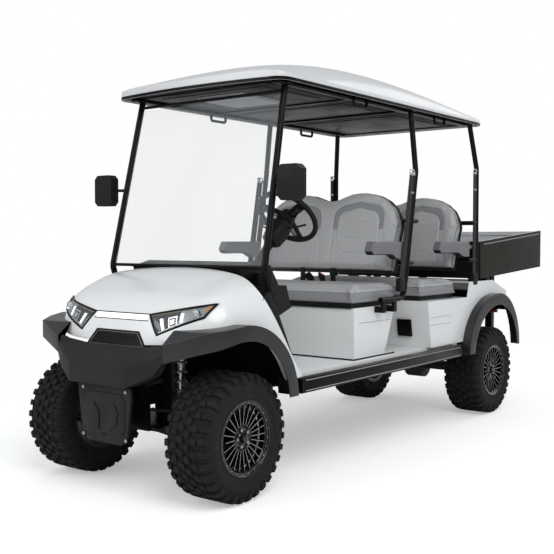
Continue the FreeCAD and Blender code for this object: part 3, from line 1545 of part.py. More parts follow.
def rear_posts():
    foot = s.fender_level + s.seat_gap
    top = s.liner_level - s.seat_gap
    span = s.rear_post_span
    route = [(behind(s.rear_post_setback), span, foot),
             (behind(s.rear_post_setback), span, s.roof_level - s.middle_post_bend * 4),
             (behind(s.rear_post_setback - s.liner_margin), span - s.liner_margin, top)]
    tube = tube_route(route, s.middle_post_bend * 2, s.post_radius)
    shapes = [tube.common(side_slab(s.floor_level, top)), post_flange(route[-1])]
    base = Part.makeCylinder(s.post_flange_radius - s.running_gap / 2, s.post_flange_height,
                             FreeCAD.Vector(behind(s.rear_post_setback), span - s.liner_margin / 2, foot))
    shapes.append(base)
    pair("rear_posts", shaped("left_rear_post", joined(shapes)))


def pillar_point(level):
    """The axis of the left windshield pillar at one level."""
    share = (level - s.pillar_foot_level) / (s.pillar_top_level - s.pillar_foot_level)
    x = behind(s.pillar_foot_setback + (s.pillar_top_setback - s.pillar_foot_setback) * share)
    y = s.pillar_foot_span + (s.pillar_top_span - s.pillar_foot_span) * share
    return FreeCAD.Vector(x, y, level)


def windshield_frame():
    """Two raked pillars that run down to the floor, with a bar across top and bottom."""
    top = pillar_point(s.liner_level - s.seat_gap)
    knee = pillar_point(s.glass_bottom - s.post_radius)
    foot = (behind(s.floor_setback), s.pillar_foot_span, s.floor_level + s.seat_gap)
    shapes = []
    for side in (LEFT, RIGHT):
        points = [(x, side * y, z) for x, y, z in (top, knee, foot)]
        tube = tube_route(points, s.middle_post_bend, s.post_radius)
        shapes.append(tube.common(side_slab(s.floor_level + s.seat_gap, s.liner_level - s.seat_gap)))
        shapes.append(post_flange(points[0]))
    for level in (s.glass_bottom - s.post_radius / 2, s.glass_top + s.post_radius):
        x, y, z = pillar_point(level)
        shapes.append(rod((x, -y, z), (x, y, z), s.post_radius / 2))
    publish("windshield_frame", shaped("windshield_tubes", joined(shapes)))


def side_slab(low, high):
    """A flat slab bigger than the cart between two levels."""
    reach = s.wheelbase
    return Part.makeBox(reach * 2, reach * 2, high - low, FreeCAD.Vector(-reach, -reach, low))


def windshield_glass():
    low = pillar_point(s.glass_bottom + s.seat_gap)
    high = pillar_point(s.glass_top)
    inset = s.post_radius + s.seat_gap * 2
    corners = [(low.x, low.y - inset, low.z), (high.x, high.y - inset, high.z),
               (high.x, inset - high.y, high.z), (low.x, inset - low.y, low.z)]
    face = plane_outline(corners)
    normal = face.normalAt(0, 0)
    pane = face.extrude(normal * float(s.glass_thickness))
    pane.translate(normal * float(-s.glass_thickness / 2))
    publish("windshield_glass", shaped("pane", pane))


ROOF_CROWN_SHARES = (0.06, 0.66, 0.94, 1.0, 0.91, 0.68, 0.28)
ROOF_SECTION_SHARES = ((0.0, 1.0), (0.40, 0.93), (0.70, 0.72), (0.90, 0.38), (1.0, 0.0))


def roof_crown(inset):
    """The crowned top of the roof as a long solid with straight sides, past both ends of the plan."""
    length = s.roof_tail_setback - s.roof_setback + 2 * s.crown_reach
    last = len(ROOF_CROWN_SHARES) - 1
    span = s.roof_span - inset
    low = s.roof_level - inset
    wires = []
    for i, crown_share in enumerate(ROOF_CROWN_SHARES):
        x = behind(s.roof_setback - s.crown_reach + length * i / last)
        rise = s.roof_rise * crown_share
        half = []
        for y_share, z_share in ROOF_SECTION_SHARES:
            half.append((x, span * y_share, s.roof_level + s.roof_edge + rise * z_share - inset))
        half[0] = (x, 0, half[0][2])
        ends = [FreeCAD.Vector(*half[-1]), FreeCAD.Vector(x, span, low), FreeCAD.Vector(x, -span, low),
                FreeCAD.Vector(x, -span, half[-1][2])]
        wires.append(Part.Wire([mirror_curve(half)] + Part.makePolygon(ends).Edges))
    return Part.makeLoft(wires, True, False)


def roof_plan(inset, low, high):
    """The rounded plan of the roof with its bowed front, as an upright block."""
    front = behind(s.roof_setback) - inset
    corner = behind(s.roof_setback + s.roof_bow) - inset
    tail = behind(s.roof_tail_setback) + inset
    span = s.roof_span - inset
    bow = Part.Arc(FreeCAD.Vector(corner, -span, low), FreeCAD.Vector(front, 0, low),
                   FreeCAD.Vector(corner, span, low)).toShape()
    rest = Part.makePolygon([FreeCAD.Vector(corner, span, low), FreeCAD.Vector(tail, span, low),
                             FreeCAD.Vector(tail, -span, low), FreeCAD.Vector(corner, -span, low)])
    block_shape = Part.Face(Part.Wire([bow] + rest.Edges)).extrude(FreeCAD.Vector(0, 0, high - low))
    upright = [edge for edge in block_shape.Edges if runs_along(Z_AXIS)(edge)]
    return block_shape.makeFillet(s.roof_corner - inset, upright)


def roof_solid(inset):
    """The whole roof, made smaller all round by the inset."""
    plan = roof_plan(inset, s.roof_level - inset, s.roof_level + s.roof_edge + s.roof_rise + s.overrun)
    return roof_crown(inset).common(plan)


def roof():
    shell = roof_solid(0).cut(roof_solid(s.roof_wall))
    publish("roof", shaped("roof_shell", largest(shell)))


def roof_liner():
    """Flat headliner that closes the roof from below, with a console at the front."""
    liner = roof_plan(s.roof_wall + s.seat_gap, s.liner_level, s.liner_level + s.liner_thickness)
    x = behind(s.pillar_top_setback + s.post_flange_radius * 2)
    console = Part.makeBox(s.console_length, s.console_width, s.console_depth,
                           FreeCAD.Vector(x - s.console_length, -s.console_width / 2,
                                          s.liner_level - s.console_depth))
    publish("roof_liner", shaped("liner_panel", joined([liner, console])))


def grab_handles():
    """Looped handles under the roof edges, two on each side."""
    top = s.liner_level - s.seat_gap
    loops = []
    for setback in (s.front_handle_setback, s.rear_handle_setback):
        x = behind(setback)
        low = top - s.handle_drop
        route = [(x, s.handle_span, top), (x, s.handle_span, low), (x - s.handle_length, s.handle_span, low),
                 (x - s.handle_length, s.handle_span, top)]
        loops.append(tube_route(route, s.handle_radius * 2, s.handle_radius))
    pair("grab_handles", shaped("left_handles", Part.makeCompound(loops)))


def mirrors():
    """A rounded housing on a short arm from each pillar."""
    root = pillar_point(s.mirror_level)
    centre = FreeCAD.Vector(behind(s.mirror_setback), s.mirror_side, s.mirror_level)
    half_width = s.mirror_width / 2
    half_height = s.mirror_height / 2
    cut_off = s.mirror_width / 6
    face = [(cut_off - half_width, -half_height), (half_width - cut_off, -half_height),
            (half_width, cut_off - half_height), (half_width, half_height - cut_off),
            (half_width - cut_off, half_height),
            (cut_off - half_width, half_height), (-half_width, half_height - cut_off),
            (-half_width, cut_off - half_height)]
    points = [(centre.x - s.mirror_depth / 2, centre.y + u, centre.z + v) for u, v in face]
    housing = plane_outline(points).extrude(FreeCAD.Vector(s.mirror_depth, 0, 0))
    arm = rod((root.x, root.y, root.z), (centre.x, centre.y, centre.z), s.mirror_arm_radius)
    low = pillar_point(s.glass_bottom)
    high = pillar_point(s.glass_top)
    post = rod(low, high, s.post_radius + s.seat_gap)
    pair("mirrors", shaped("left_mirror", largest(joined([housing, arm]).cut(post))))


def seat_belts():
    """Belt reels on the four posts and the buckles between cushion and back."""
    pieces = []
    for post_x, span in ((middle_post_x(s.belt_box_level + s.belt_box_height / 2), s.middle_post_span),
                         (behind(s.rear_post_setback), s.rear_post_span)):
        inner = span - s.post_radius - s.running_gap / 2
        corner = FreeCAD.Vector(post_x - s.belt_box_length / 2, inner - s.belt_box_width, s.belt_box_level)
        reel = Part.makeBox(s.belt_box_length, s.belt_box_width, s.belt_box_height, corner)
        stub = Part.makeBox(s.belt_box_length / 4, s.post_radius, s.belt_box_height / 3,
                            corner + FreeCAD.Vector(s.belt_box_length * 3 / 8, s.belt_box_width - s.running_gap,
                                                    s.belt_box_height / 3))
        pieces.append(largest(reel.fuse(stub).cut(post_envelopes(LEFT))))
    low = cushion_base() + s.cushion_height + s.seat_gap
    for setback in (s.front_cushion_setback, s.rear_cushion_setback):
        corner = FreeCAD.Vector(behind(setback + s.buckle_setback) - s.buckle_length,
                                s.buckle_side - s.buckle_width / 2, low)
        pieces.append(Part.makeBox(s.buckle_length, s.buckle_width, s.buckle_height, corner))
    pair("seat_belts", shaped("left_belts", Part.makeCompound(pieces)))


def column_way():
    tilt = math.radians(s.column_tilt)
    return FreeCAD.Vector(math.cos(tilt), 0, -math.sin(tilt))


def wheel_centre():
    return FreeCAD.Vector(behind(s.wheel_setback), s.wheel_side, s.wheel_level)


def steering_column():
    start = wheel_centre() + column_way() * float(s.steering_hub_depth + s.seat_gap)
    tube = Part.makeCylinder(s.column_radius, s.column_length, start, column_way())
    publish("steering_column", shaped("column_tube", tube))
    return Part.makeCylinder(s.column_radius + s.seat_gap, s.column_length, start, column_way())


def steering_wheel():
    """Grip ring, three spokes and a hub on the column's axis."""
    centre = wheel_centre()
    way = column_way()
    ring = Part.makeTorus(s.wheel_grip_radius, s.grip_thickness)
    hub = Part.makeCylinder(s.steering_hub_radius, s.steering_hub_depth, FreeCAD.Vector(0, 0, 0))
    shapes = [ring, hub]
    for i in range(int(s.steering_spokes)):
        spoke = Part.makeBox(s.wheel_grip_radius, s.steering_hub_radius, s.grip_thickness,
                             FreeCAD.Vector(0, -s.steering_hub_radius / 2, -s.grip_thickness / 2))
        spoke.rotate(FreeCAD.Vector(0, 0, 0), Z_AXIS, 360 * i / s.steering_spokes)
        shapes.append(spoke)
    thing = shaped("wheel_ring", joined(shapes))
    thing.Placement = FreeCAD.Placement(centre, FreeCAD.Rotation(Z_AXIS, way))
    publish("steering_wheel", thing)


def bed_low(setback):
    """The underside of the load bed, which climbs a little to the tail."""
    return s.bed_level + s.bed_tail_rise * (setback - s.bed_setback) / s.bed_length


def bed_tail():
    return s.bed_setback + s.bed_length


def tailgate_axis(y):
    """The point of the tailgate's hinge line that lies at one y."""
    half = s.tailgate_thickness / 2
    return behind(bed_tail()) + half, y, bed_low(bed_tail()) + s.running_gap + half


def bed_mount():
    """Rails under the bed, rounded at the pivot pin, on posts from the frame."""
    drop = s.bed_pivot_drop
    pivot_x = behind(s.bed_pivot_setback)
    pivot_z = bed_low(s.bed_pivot_setback) - drop
    inner = s.rail_span - s.rail_width / 2
    front = s.bed_rail_setback
    lift = s.seat_gap
    side = [(behind(front), bed_low(front) - lift), (pivot_x, bed_low(s.bed_pivot_setback) - lift),
            (pivot_x, bed_low(s.bed_pivot_setback) - s.bed_rail_height),
            (behind(front), bed_low(front) - s.bed_rail_height)]
    shapes = [side_prism(side, inner, inner + s.rail_width)]
    shapes.append(rod((pivot_x, inner, pivot_z), (pivot_x, inner + s.rail_width, pivot_z), drop - lift * 2))
    pin_end = inner + s.rail_width + s.bed_ear_thickness + s.running_gap
    shapes.append(rod((pivot_x, inner, pivot_z), (pivot_x, pin_end, pivot_z), s.bed_pivot_radius))
    for x in (behind(front) - s.bed_rail_post, pivot_x):
        corner = FreeCAD.Vector(x, inner, RAIL_TOP + s.seat_gap)
        shapes.append(Part.makeBox(s.bed_rail_post, s.rail_width, bed_low(front) - s.bed_rail_height / 2 - corner.z,
                                   corner))
    left = joined(shapes)
    right = left.mirror(FreeCAD.Vector(0, 0, 0), Y_AXIS)
    low = bed_low(front) - s.bed_rail_height
    tie = Part.makeBox(s.bed_rail_post, inner * 2, s.bed_rail_height / 2,
                       FreeCAD.Vector(behind(front) - s.bed_rail_post, -inner, low))
    publish("bed_mount", shaped("bed_rails", joined([left, right, tie])))


def bed_feet():
    """Small pads on the fenders that the front of the bed rests on."""
    x = behind(s.bed_foot_setback)
    low = s.fender_level + s.seat_gap
    high = bed_low(s.bed_foot_setback) - s.seat_gap
    corner = (x - s.bed_foot_length, s.rear_post_span - s.bed_foot_length, low)
    pair("bed_feet", block("left_bed_foot", corner, (x, s.rear_post_span, Size(high, written(high)))))


def bed_tub():
    """Load tub with its floor, front wall and sides, open to the tailgate."""
    span = s.bed_span
    wall = s.bed_wall
    tail = bed_tail()
    front_top = s.bed_level + s.bed_side_height
    tail_top = bed_low(tail) + s.bed_tail_side_height
    slope = s.bed_tail_rise / s.bed_length
    front = behind(s.bed_setback)
    outer = side_prism([(front, s.bed_level), (front + slope * s.bed_side_height, front_top),
                        (behind(tail), tail_top), (behind(tail), bed_low(tail))], -span, span)
    start = s.bed_setback + wall
    stop = tail + s.overrun
    floor_z = bed_low(start) + s.bed_floor
    rise = front_top + s.overrun * 2 - floor_z
    inside = side_prism([(behind(start), floor_z), (behind(start) + slope * rise, floor_z + rise),
                         (behind(stop), tail_top + s.overrun * 2), (behind(stop), bed_low(stop) + s.bed_floor)],
                        wall - span, span - wall)
    gate = Part.makeBox(s.tailgate_thickness + s.running_gap + s.overrun, (span - wall) * 2,
                        s.bed_tail_side_height * 2,
                        FreeCAD.Vector(behind(tail) - s.overrun, wall - span, s.bed_level - s.overrun))
    tub = outer.cut([inside, gate])
    pivot_x = behind(s.bed_pivot_setback)
    pivot_z = bed_low(s.bed_pivot_setback) - s.bed_pivot_drop
    ears = []
    for side in (LEFT, RIGHT):
        inner = s.rail_span + s.rail_width / 2 + s.running_gap / 2
        low_y = inner if side == LEFT else -inner - s.bed_ear_thickness
        corner = FreeCAD.Vector(pivot_x - s.bed_pivot_drop, low_y, pivot_z)
        ear = Part.makeBox(s.bed_pivot_drop * 2, s.bed_ear_thickness, s.bed_pivot_drop + s.bed_floor / 2, corner)
        ear = ear.fuse(rod((pivot_x, low_y, pivot_z), (pivot_x, low_y + s.bed_ear_thickness, pivot_z),
                           s.bed_pivot_drop))
        bore = rod((pivot_x, low_y - s.overrun, pivot_z), (pivot_x, low_y + s.overrun, pivot_z),
                   s.bed_pivot_radius + s.fit_gap)
        ears.append(ear.cut(bore))
    pins = []
    for side in (LEFT, RIGHT):
        root = tailgate_axis(side * (span - wall / 2))
        tip = tailgate_axis(side * (span - wall - s.tailgate_pin_length))
        pins.append(rod(root, tip, s.tailgate_pin_radius))
    publish("bed_tub", shaped("tub", joined([largest(tub)] + ears + pins)))


def tailgate():
    """The drop gate between the bed sides, hung on the two pins at its lower corners."""
    span = s.bed_span - s.bed_wall - s.running_gap
    x, span, z = tailgate_axis(span)
    half = s.tailgate_thickness / 2
    high = bed_low(bed_tail()) + s.bed_tail_side_height - s.running_gap
    panel = Part.makeBox(half * 2, span * 2, high - z, FreeCAD.Vector(x - half, -span, z))
    edge = rod((x, -span, z), (x, span, z), half)
    bores = []
    for side in (LEFT, RIGHT):
        start = tailgate_axis(side * (span + s.overrun))
        end = tailgate_axis(side * (span - s.tailgate_pin_length))
        bores.append(rod(start, end, s.tailgate_pin_radius + s.fit_gap))
    publish("tailgate", shaped("gate", joined([panel, edge]).cut(bores)))


def check_and_write():
    """Stops if any piece of the cart failed, then writes one file for each."""
    DOCUMENT.recompute()
    for thing in DOCUMENT.Objects:
        if "Invalid" in thing.State or "Error" in thing.State:
            raise RuntimeError(f"{thing.Name} failed: {thing.State}")
    os.makedirs("parts", exist_ok=True)
    for label, thing in NODES.items():
        shape = thing.Shape
        if shape.isNull() or not shape.isValid() or not shape.Solids:
            raise RuntimeError(f"{label} has no valid solid")
        shape.exportStep(f"parts/{label}.step")
        print(f"{label}: {len(shape.Solids)} solids, {shape.Volume / LITRE:.3f} litres")


chassis_frame()
front_subframe()
front_suspension()
coil_overs()
rack_housing()
steering_rack()
knuckle(LEFT, "knuckle_left")
knuckle(RIGHT, "knuckle_right")
rear_axle()
leaf_springs()
TYRE = tyre_solid()
for axle_label, axle_x in (("front", FRONT), ("rear", REAR)):
    for side_label, wheel_way in (("left", LEFT), ("right", RIGHT)):
        tyre(TYRE, axle_x, wheel_way, f"tyre_{axle_label}_{side_label}")
        rim(axle_x, wheel_way, f"rim_{axle_label}_{side_label}")
floor_pan()
rocker_panels()
NOSE = front_body()
front_flares(NOSE)
front_bumper()
bumper_mounts()
skid_plate()
skid_struts()
badge_plate(NOSE)
light_bar()
headlamps()
nose_openings(NODES["front_body"])
dashboard(NODES["front_body"].Shape)
cowl_panels(NODES["front_body"].Shape)
COLUMN_BORE = steering_column()
NODES["dashboard"].Shape = NODES["dashboard"].Shape.cut(COLUMN_BORE)
steering_wheel()
pedals()
windshield_frame()
windshield_glass()
mirrors()
roof()
roof_liner()
grab_handles()
middle_posts()
rear_posts()
front_seat_box()
battery_pack()
REAR_SHELL = rear_body()
rear_flares(REAR_SHELL)
charging_socket()
tail_lamps()
seat_trays()
cushion("front_cushion", s.front_cushion_setback)
cushion("rear_cushion", s.rear_cushion_setback)
backrest("front_backrest", s.front_back_setback)
backrest("rear_backrest", s.rear_back_setback)
back_frames()
armrests()
seat_belts()
bed_mount()
bed_feet()
bed_tub()
tailgate()
check_and_write()
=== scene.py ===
import json
import math
from contextlib import contextmanager
import bmesh
import bpy
from mathutils import Matrix, Vector
from mathutils.bvhtree import BVHTree


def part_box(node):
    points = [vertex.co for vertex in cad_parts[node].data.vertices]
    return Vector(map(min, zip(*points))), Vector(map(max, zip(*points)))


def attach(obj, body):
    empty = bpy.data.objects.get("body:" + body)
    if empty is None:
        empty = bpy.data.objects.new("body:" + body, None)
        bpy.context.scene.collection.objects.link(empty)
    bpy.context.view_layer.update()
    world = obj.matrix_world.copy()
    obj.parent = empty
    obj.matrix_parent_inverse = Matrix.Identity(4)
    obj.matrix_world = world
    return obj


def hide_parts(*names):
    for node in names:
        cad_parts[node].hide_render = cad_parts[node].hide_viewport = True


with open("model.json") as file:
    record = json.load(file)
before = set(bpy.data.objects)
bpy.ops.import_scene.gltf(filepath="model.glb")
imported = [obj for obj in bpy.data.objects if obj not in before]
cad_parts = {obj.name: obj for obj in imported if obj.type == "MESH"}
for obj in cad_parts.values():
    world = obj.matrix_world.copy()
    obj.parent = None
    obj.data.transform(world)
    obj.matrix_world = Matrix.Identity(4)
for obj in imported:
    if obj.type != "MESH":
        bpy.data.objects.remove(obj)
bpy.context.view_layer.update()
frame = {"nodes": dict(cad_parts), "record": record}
print("frame loaded with", len(frame["nodes"]), "nodes")

# X forward, Y to the driver's left, Z up, in metres; setbacks count from the front axle
frontAxle = 1.5725
rearAxle = -1.0575
wheelSide = 0.465
wheelHeight = 0.290
leftAndRight = (1, -1)
bodyOf = {node: body for body, nodes in frame["record"]["behaviour"]["bodies"].items() for node in nodes}

cameraSettings = {
    "place": (4.5865, 3.054, 1.163),
    "yaw": 37.154,
    "pitch": 2.393,
    "lens": 57.99,
    "sensor": 36,
    "shift": (-0.0072, 0.0014),
    "farthest": 100,
}
lampSettings = {
    "keyLamp": {"place": (3.6, 4.6, 5.2), "size": 4.5, "watts": 205},
    "fillLamp": {"place": (6.5, -2.5, 3.2), "size": 4.0, "watts": 90},
    "backLamp": {"place": (-5.5, 1.5, 4.5), "size": 4.5, "watts": 80},
}
lampTarget = (0.2, 0, 0.9)
studioSettings = {
    "dome": "#e9ecef",
    "domeStrength": 0.62,
    "floorHalf": 30,
    "floorTints": ("#f6f6f6", "#f2f2f2"),
    "floorPatchScale": 0.4,
    "floorGlow": 0.36,
    # where the floor starts and ends to run out into the white backdrop
    "fade": (2.6, 5.5),
}


def behind(setback):
    return frontAxle - setback


def makeCamera(values):
    data = bpy.data.cameras.new("studioCamera")
    data.lens = values["lens"]
    data.sensor_width = values["sensor"]
    data.shift_x, data.shift_y = values["shift"]
    data.clip_end = values["farthest"]
    camera = bpy.data.objects.new("studioCamera", data)
    bpy.context.scene.collection.objects.link(camera)
    yaw = math.radians(values["yaw"])
    pitch = math.radians(values["pitch"])
    look = Vector((-math.cos(yaw) * math.cos(pitch), -math.sin(yaw) * math.cos(pitch), -math.sin(pitch)))
    camera.location = values["place"]
    camera.rotation_mode = "QUATERNION"
    camera.rotation_quaternion = look.to_track_quat("-Z", "Y")
    bpy.context.scene.camera = camera


def makeLamp(name, values):
    data = bpy.data.lights.new(name, "AREA")
    data.shape = "DISK"
    data.size = values["size"]
    data.energy = values["watts"]
    lamp = bpy.data.objects.new(name, data)
    bpy.context.scene.collection.objects.link(lamp)
    lamp.location = values["place"]
    way = Vector(lampTarget) - Vector(values["place"])
    lamp.rotation_mode = "QUATERNION"
    lamp.rotation_quaternion = way.to_track_quat("-Z", "Y")


def toLinear(hexText):
    channels = [int(hexText[i:i + 2], 16) / 255 for i in (1, 3, 5)]
    return [c / 12.92 if c <= 0.04045 else ((c + 0.055) / 1.055) ** 2.4 for c in channels] + [1.0]


def addNode(tree, kind, settings=None, inputs=None):
    node = tree.nodes.new(kind)
    for key, value in (settings or {}).items():
        setattr(node, key, value)
    for key, value in (inputs or {}).items():
        if isinstance(value, bpy.types.NodeSocket):
            tree.links.new(value, node.inputs[key])
        else:
            node.inputs[key].default_value = value
    return node


def freshTree(owner):
    owner.use_nodes = True
    owner.node_tree.nodes.clear()
    return owner.node_tree


def perMetre(millimetres):
    # texture scale whose features are this far apart
    return 1000 / millimetres


def surface(name, base, shade, patchMm, roughness, roughnessSpread, grainMm=0, grainHeight=0,
            grain="noise", stretch=(1, 1, 1), **shaderValues):
    # colour drifts between base and shade in patches; the grain is relief alone
    material = bpy.data.materials.new(name)
    tree = freshTree(material)
    shader = addNode(tree, "ShaderNodeBsdfPrincipled")
    addNode(tree, "ShaderNodeOutputMaterial", inputs={"Surface": shader.outputs["BSDF"]})
    place = addNode(tree, "ShaderNodeTexCoord").outputs["Object"]
    patches = addNode(tree, "ShaderNodeTexNoise",
                      inputs={"Vector": place, "Scale": perMetre(patchMm), "Detail": 4.0, "Roughness": 0.55})
    tint = addNode(tree, "ShaderNodeMix", {"data_type": "RGBA"}, {0: patches.outputs["Fac"]})
    tint.inputs[6].default_value = toLinear(base)
    tint.inputs[7].default_value = toLinear(shade)
    tree.links.new(tint.outputs[2], shader.inputs["Base Color"])
    smoothest, dullest = max(roughness - roughnessSpread, 0.0), roughness + roughnessSpread
    dull = addNode(tree, "ShaderNodeMapRange",
                   inputs={"Value": patches.outputs["Fac"], "From Min": 0.3, "From Max": 0.7,
                           "To Min": smoothest, "To Max": dullest})
    tree.links.new(dull.outputs["Result"], shader.inputs["Roughness"])
    if grainMm:
        stretched = addNode(tree, "ShaderNodeMapping", inputs={"Vector": place, "Scale": stretch})
        where = {"Vector": stretched.outputs["Vector"], "Scale": perMetre(grainMm)}
        if grain == "cells":
            height = addNode(tree, "ShaderNodeTexVoronoi", inputs=where).outputs["Distance"]
        else:
            height = addNode(tree, "ShaderNodeTexNoise", inputs={**where, "Detail": 3.0}).outputs["Fac"]
        bump = addNode(tree, "ShaderNodeBump",
                       inputs={"Height": height, "Strength": 0.6, "Distance": grainHeight})
        tree.links.new(bump.outputs["Normal"], shader.inputs["Normal"])
    for key, value in shaderValues.items():
        shader.inputs[key.replace("_", " ")].default_value = value
    return material


# gel-coated ABS body: clean white with a wet gloss and a hint of orange peel
whiteGelcoat = surface("whiteGelcoatAbs", "#e9eaea", "#e1e2e3", 600, 0.24, 0.05, 6, 0.0003,
                       Coat_Weight=0.35, Coat_Roughness=0.08)
# the same gel coat on the roof, a touch duller, and painted a touch greyer as painted shade to tone down its
# up-facing top
roofGelcoat = surface("shadedRoofGelcoatAbs", "#d3d4d5", "#cbcccd", 600, 0.32, 0.05, 6, 0.0003,
                      Coat_Weight=0.2, Coat_Roughness=0.12)
# moulded-in dark grey TPO: fine leather grain, dull, drifting darker in patches
grainedTpo = surface("grainedDarkTpo", "#1e1e20", "#171719", 90, 0.56, 0.08, 3, 0.0005, "cells",
                     Specular_IOR_Level=0.28)
# the same TPO on the arches, smoother, with a grey shine where light grazes it
flareTpo = surface("smoothDarkTpo", "#212123", "#1a1a1c", 120, 0.33, 0.07, 3, 0.0003, "cells")
# dash and mirror shells: finer spark-eroded grain, nearly black
dashAbs = surface("darkDashAbs", "#18191a", "#121314", 120, 0.47, 0.07, 2.5, 0.0003, "cells",
                  Specular_IOR_Level=0.16)
# powder coat over steel tube: smooth black with a slight ripple
blackPowderCoat = surface("blackPowderCoat", "#0b0b0c", "#070708", 150, 0.34, 0.06, 4, 0.0002,
                          Specular_IOR_Level=0.14)
# tyre compound: carbon-black rubber, dusty in patches
tyreRubber = surface("tyreRubber", "#19191a", "#131314", 45, 0.82, 0.08, 4, 0.0006, Specular_IOR_Level=0.3)
# cast alloy under gloss black lacquer
blackLacquer = surface("blackLacqueredAlloy", "#121214", "#0b0b0c", 60, 0.18, 0.05, 0, 0, Metallic=0.35,
                       Coat_Weight=0.6, Coat_Roughness=0.06)
# turned alloy left bright under clear lacquer: fine concentric drag marks
turnedAlloy = surface("turnedAlloy", "#c9cacc", "#a9abad", 8, 0.26, 0.08, 1.5, 0.0001, "noise", (1, 6, 1),
                      Metallic=1.0)
# marine vinyl, light grey: soft pebbled grain with a dull sheen
lightVinyl = surface("lightGreyMarineVinyl", "#b2b3b4", "#a9aaac", 130, 0.52, 0.06, 4, 0.0004, "cells")
# the same vinyl painted a darker grey: painted shade on the side walls of the pads and in the sunk bands of
# the backrests
shadedVinyl = surface("shadedGreyMarineVinyl", "#8b8c8e", "#828385", 130, 0.55, 0.06, 4, 0.0004, "cells")
# armrest skin: the darker vinyl again, a little smoother from hands
armVinyl = surface("wornGreyMarineVinyl", "#737476", "#6a6b6d", 130, 0.5, 0.06, 4, 0.0004, "cells")
# welt cord in the pale vinyl
paleWelt = surface("paleWeltVinyl", "#cacbcc", "#c0c2c4", 30, 0.5, 0.05, 3, 0.0002)
# anodised aluminium trim: satin silver with drag lines along its length
satinAluminium = surface("satinAnodisedAluminium", "#bdbfc1", "#a3a5a8", 25, 0.3, 0.06, 2, 0.0001, "noise",
                         (0.05, 1, 1), Metallic=1.0)
# zinc-plated steel of springs and bolts
zincSteel = surface("zincPlatedSteel", "#b4b6b8", "#8f9193", 12, 0.3, 0.08, 3, 0.0001, Metallic=1.0)
# raw castings with black paint over sand texture
paintedCasting = surface("paintedSandCasting", "#232426", "#19191b", 40, 0.6, 0.1, 5, 0.0008)
# bronze-black coat on the pressed bed panels
bronzeCoat = surface("bronzeBlackPowderCoat", "#24221a", "#1d1b14", 420, 0.5, 0.07, 4, 0.0002,
                     Specular_IOR_Level=0.2)
# pale grey liner sprayed inside the bed: pebbly and dull
bedLiner = surface("paleSprayedBedLiner", "#c3c4c5", "#b3b4b6", 80, 0.62, 0.08, 5, 0.0007, "cells")
# pale vinyl floor mat
floorVinyl = surface("paleRibbedFloorVinyl", "#eeefef", "#e4e5e6", 150, 0.5, 0.07, 4, 0.0003, "cells")
# headliner: dark vacuum-formed sheet
headliner = surface("darkFormedHeadliner", "#0e0f10", "#0a0a0b", 200, 0.5, 0.08, 4, 0.0003, "cells",
                    Specular_IOR_Level=0.12)
# formed tray set in the headliner, a lighter grey
linerTray = surface("greyFormedTray", "#1d1e1f", "#161718", 200, 0.45, 0.08, 4, 0.0003, "cells",
                    Specular_IOR_Level=0.3)
# pale moulded console under the front of the roof
consoleGrey = surface("paleMouldedConsole", "#a9abad", "#9b9da0", 60, 0.4, 0.06, 3, 0.0002, "cells")
# polyester belt webbing: ribbed weave, slight shine
webbing = surface("blackPolyesterWebbing", "#1b1b1d", "#141416", 20, 0.6, 0.08, 2.2, 0.0005, "noise",
                  (1, 1, 0.2))
# bright chrome on reflectors and belt anchors
brightChrome = surface("brightChrome", "#dcdee0", "#c6c8ca", 15, 0.1, 0.04, 0, 0, Metallic=1.0)
# amber lens plastic, clear-bright
amberPlastic = surface("amberLampPlastic", "#b07a1c", "#9a6812", 12, 0.2, 0.04)
# smoked amber over the dark bezel, seen as a dull olive line
smokedAmber = surface("smokedAmberPlastic", "#6b5f2a", "#574d20", 12, 0.25, 0.04)
# deep red lens plastic, also the release buttons of the belts
redPlastic = surface("redLampPlastic", "#8a1416", "#741012", 14, 0.2, 0.04)
# lamp bezels, gasket and plate: nearly gloss black moulding
glossBlack = surface("glossBlackAbs", "#0c0c0e", "#08080a", 80, 0.3, 0.04, Specular_IOR_Level=0.12)
# lit white diffuser: opal plastic with its lamp on behind it
opalDiffuser = surface("litOpalDiffuser", "#fbfcfd", "#f4f6f8", 40, 0.3, 0.05, Emission_Strength=0.55,
                       Emission_Color=toLinear("#f7fafc"))
# silvered glass of the mirrors: sharp and cool
mirrorGlass = surface("silveredGlass", "#dfe3e6", "#d6dadd", 200, 0.04, 0.02, Metallic=1.0)
# polycarbonate screen: almost clear, with a pale haze where it catches the sky
clearScreen = surface("hazedPolycarbonate", "#b9bec1", "#adb2b6", 500, 0.05, 0.02, Alpha=0.12, IOR=1.58)
# lamp covers: clearer still
lampCover = surface("clearLampPolycarbonate", "#f4f6f6", "#eceff0", 90, 0.04, 0.02, Alpha=0.05, IOR=1.58)
# felted lining of the wheel arches, also on the insides of the mouldings and under the floor, and laid as
# painted shade on faces turned downwards under the body: swallows the light
archFeltAndShade = surface("blackArchFeltAndShade", "#0e0e0f", "#080809", 60, 0.9, 0.05, 3, 0.0006, Specular_IOR_Level=0.1)
# silver paint inside the lamps; the same grey on the pressed lines of the body and the gate ribs is painted
# crease shade
silverPaintAndCreaseShade = surface("silverPaintAndCreaseShadeAbs", "#9a9c9f", "#87898c", 30, 0.33, 0.06, 3, 0.0001, Metallic=0.6)
print("materials made:", len(bpy.data.materials))


def plainPiece(name, mesh):
    piece = bpy.data.objects.new(name, mesh)
    bpy.context.scene.collection.objects.link(piece)
    return piece


@contextmanager
def editing(mesh):
    # opens a mesh for bmesh work and writes it back
    bm = bmesh.new()
    bm.from_mesh(mesh)
    yield bm
    bm.to_mesh(mesh)
    bm.free()


def everything(bm):
    return bm.verts[:] + bm.edges[:] + bm.faces[:]


def evaluated(carrier):
    # the carrier's shape with its modifiers applied, as a plain mesh; the carrier goes
    graph = bpy.context.evaluated_depsgraph_get()
    mesh = bpy.data.meshes.new_from_object(carrier.evaluated_get(graph), depsgraph=graph)
    bpy.data.objects.remove(carrier)
    return mesh


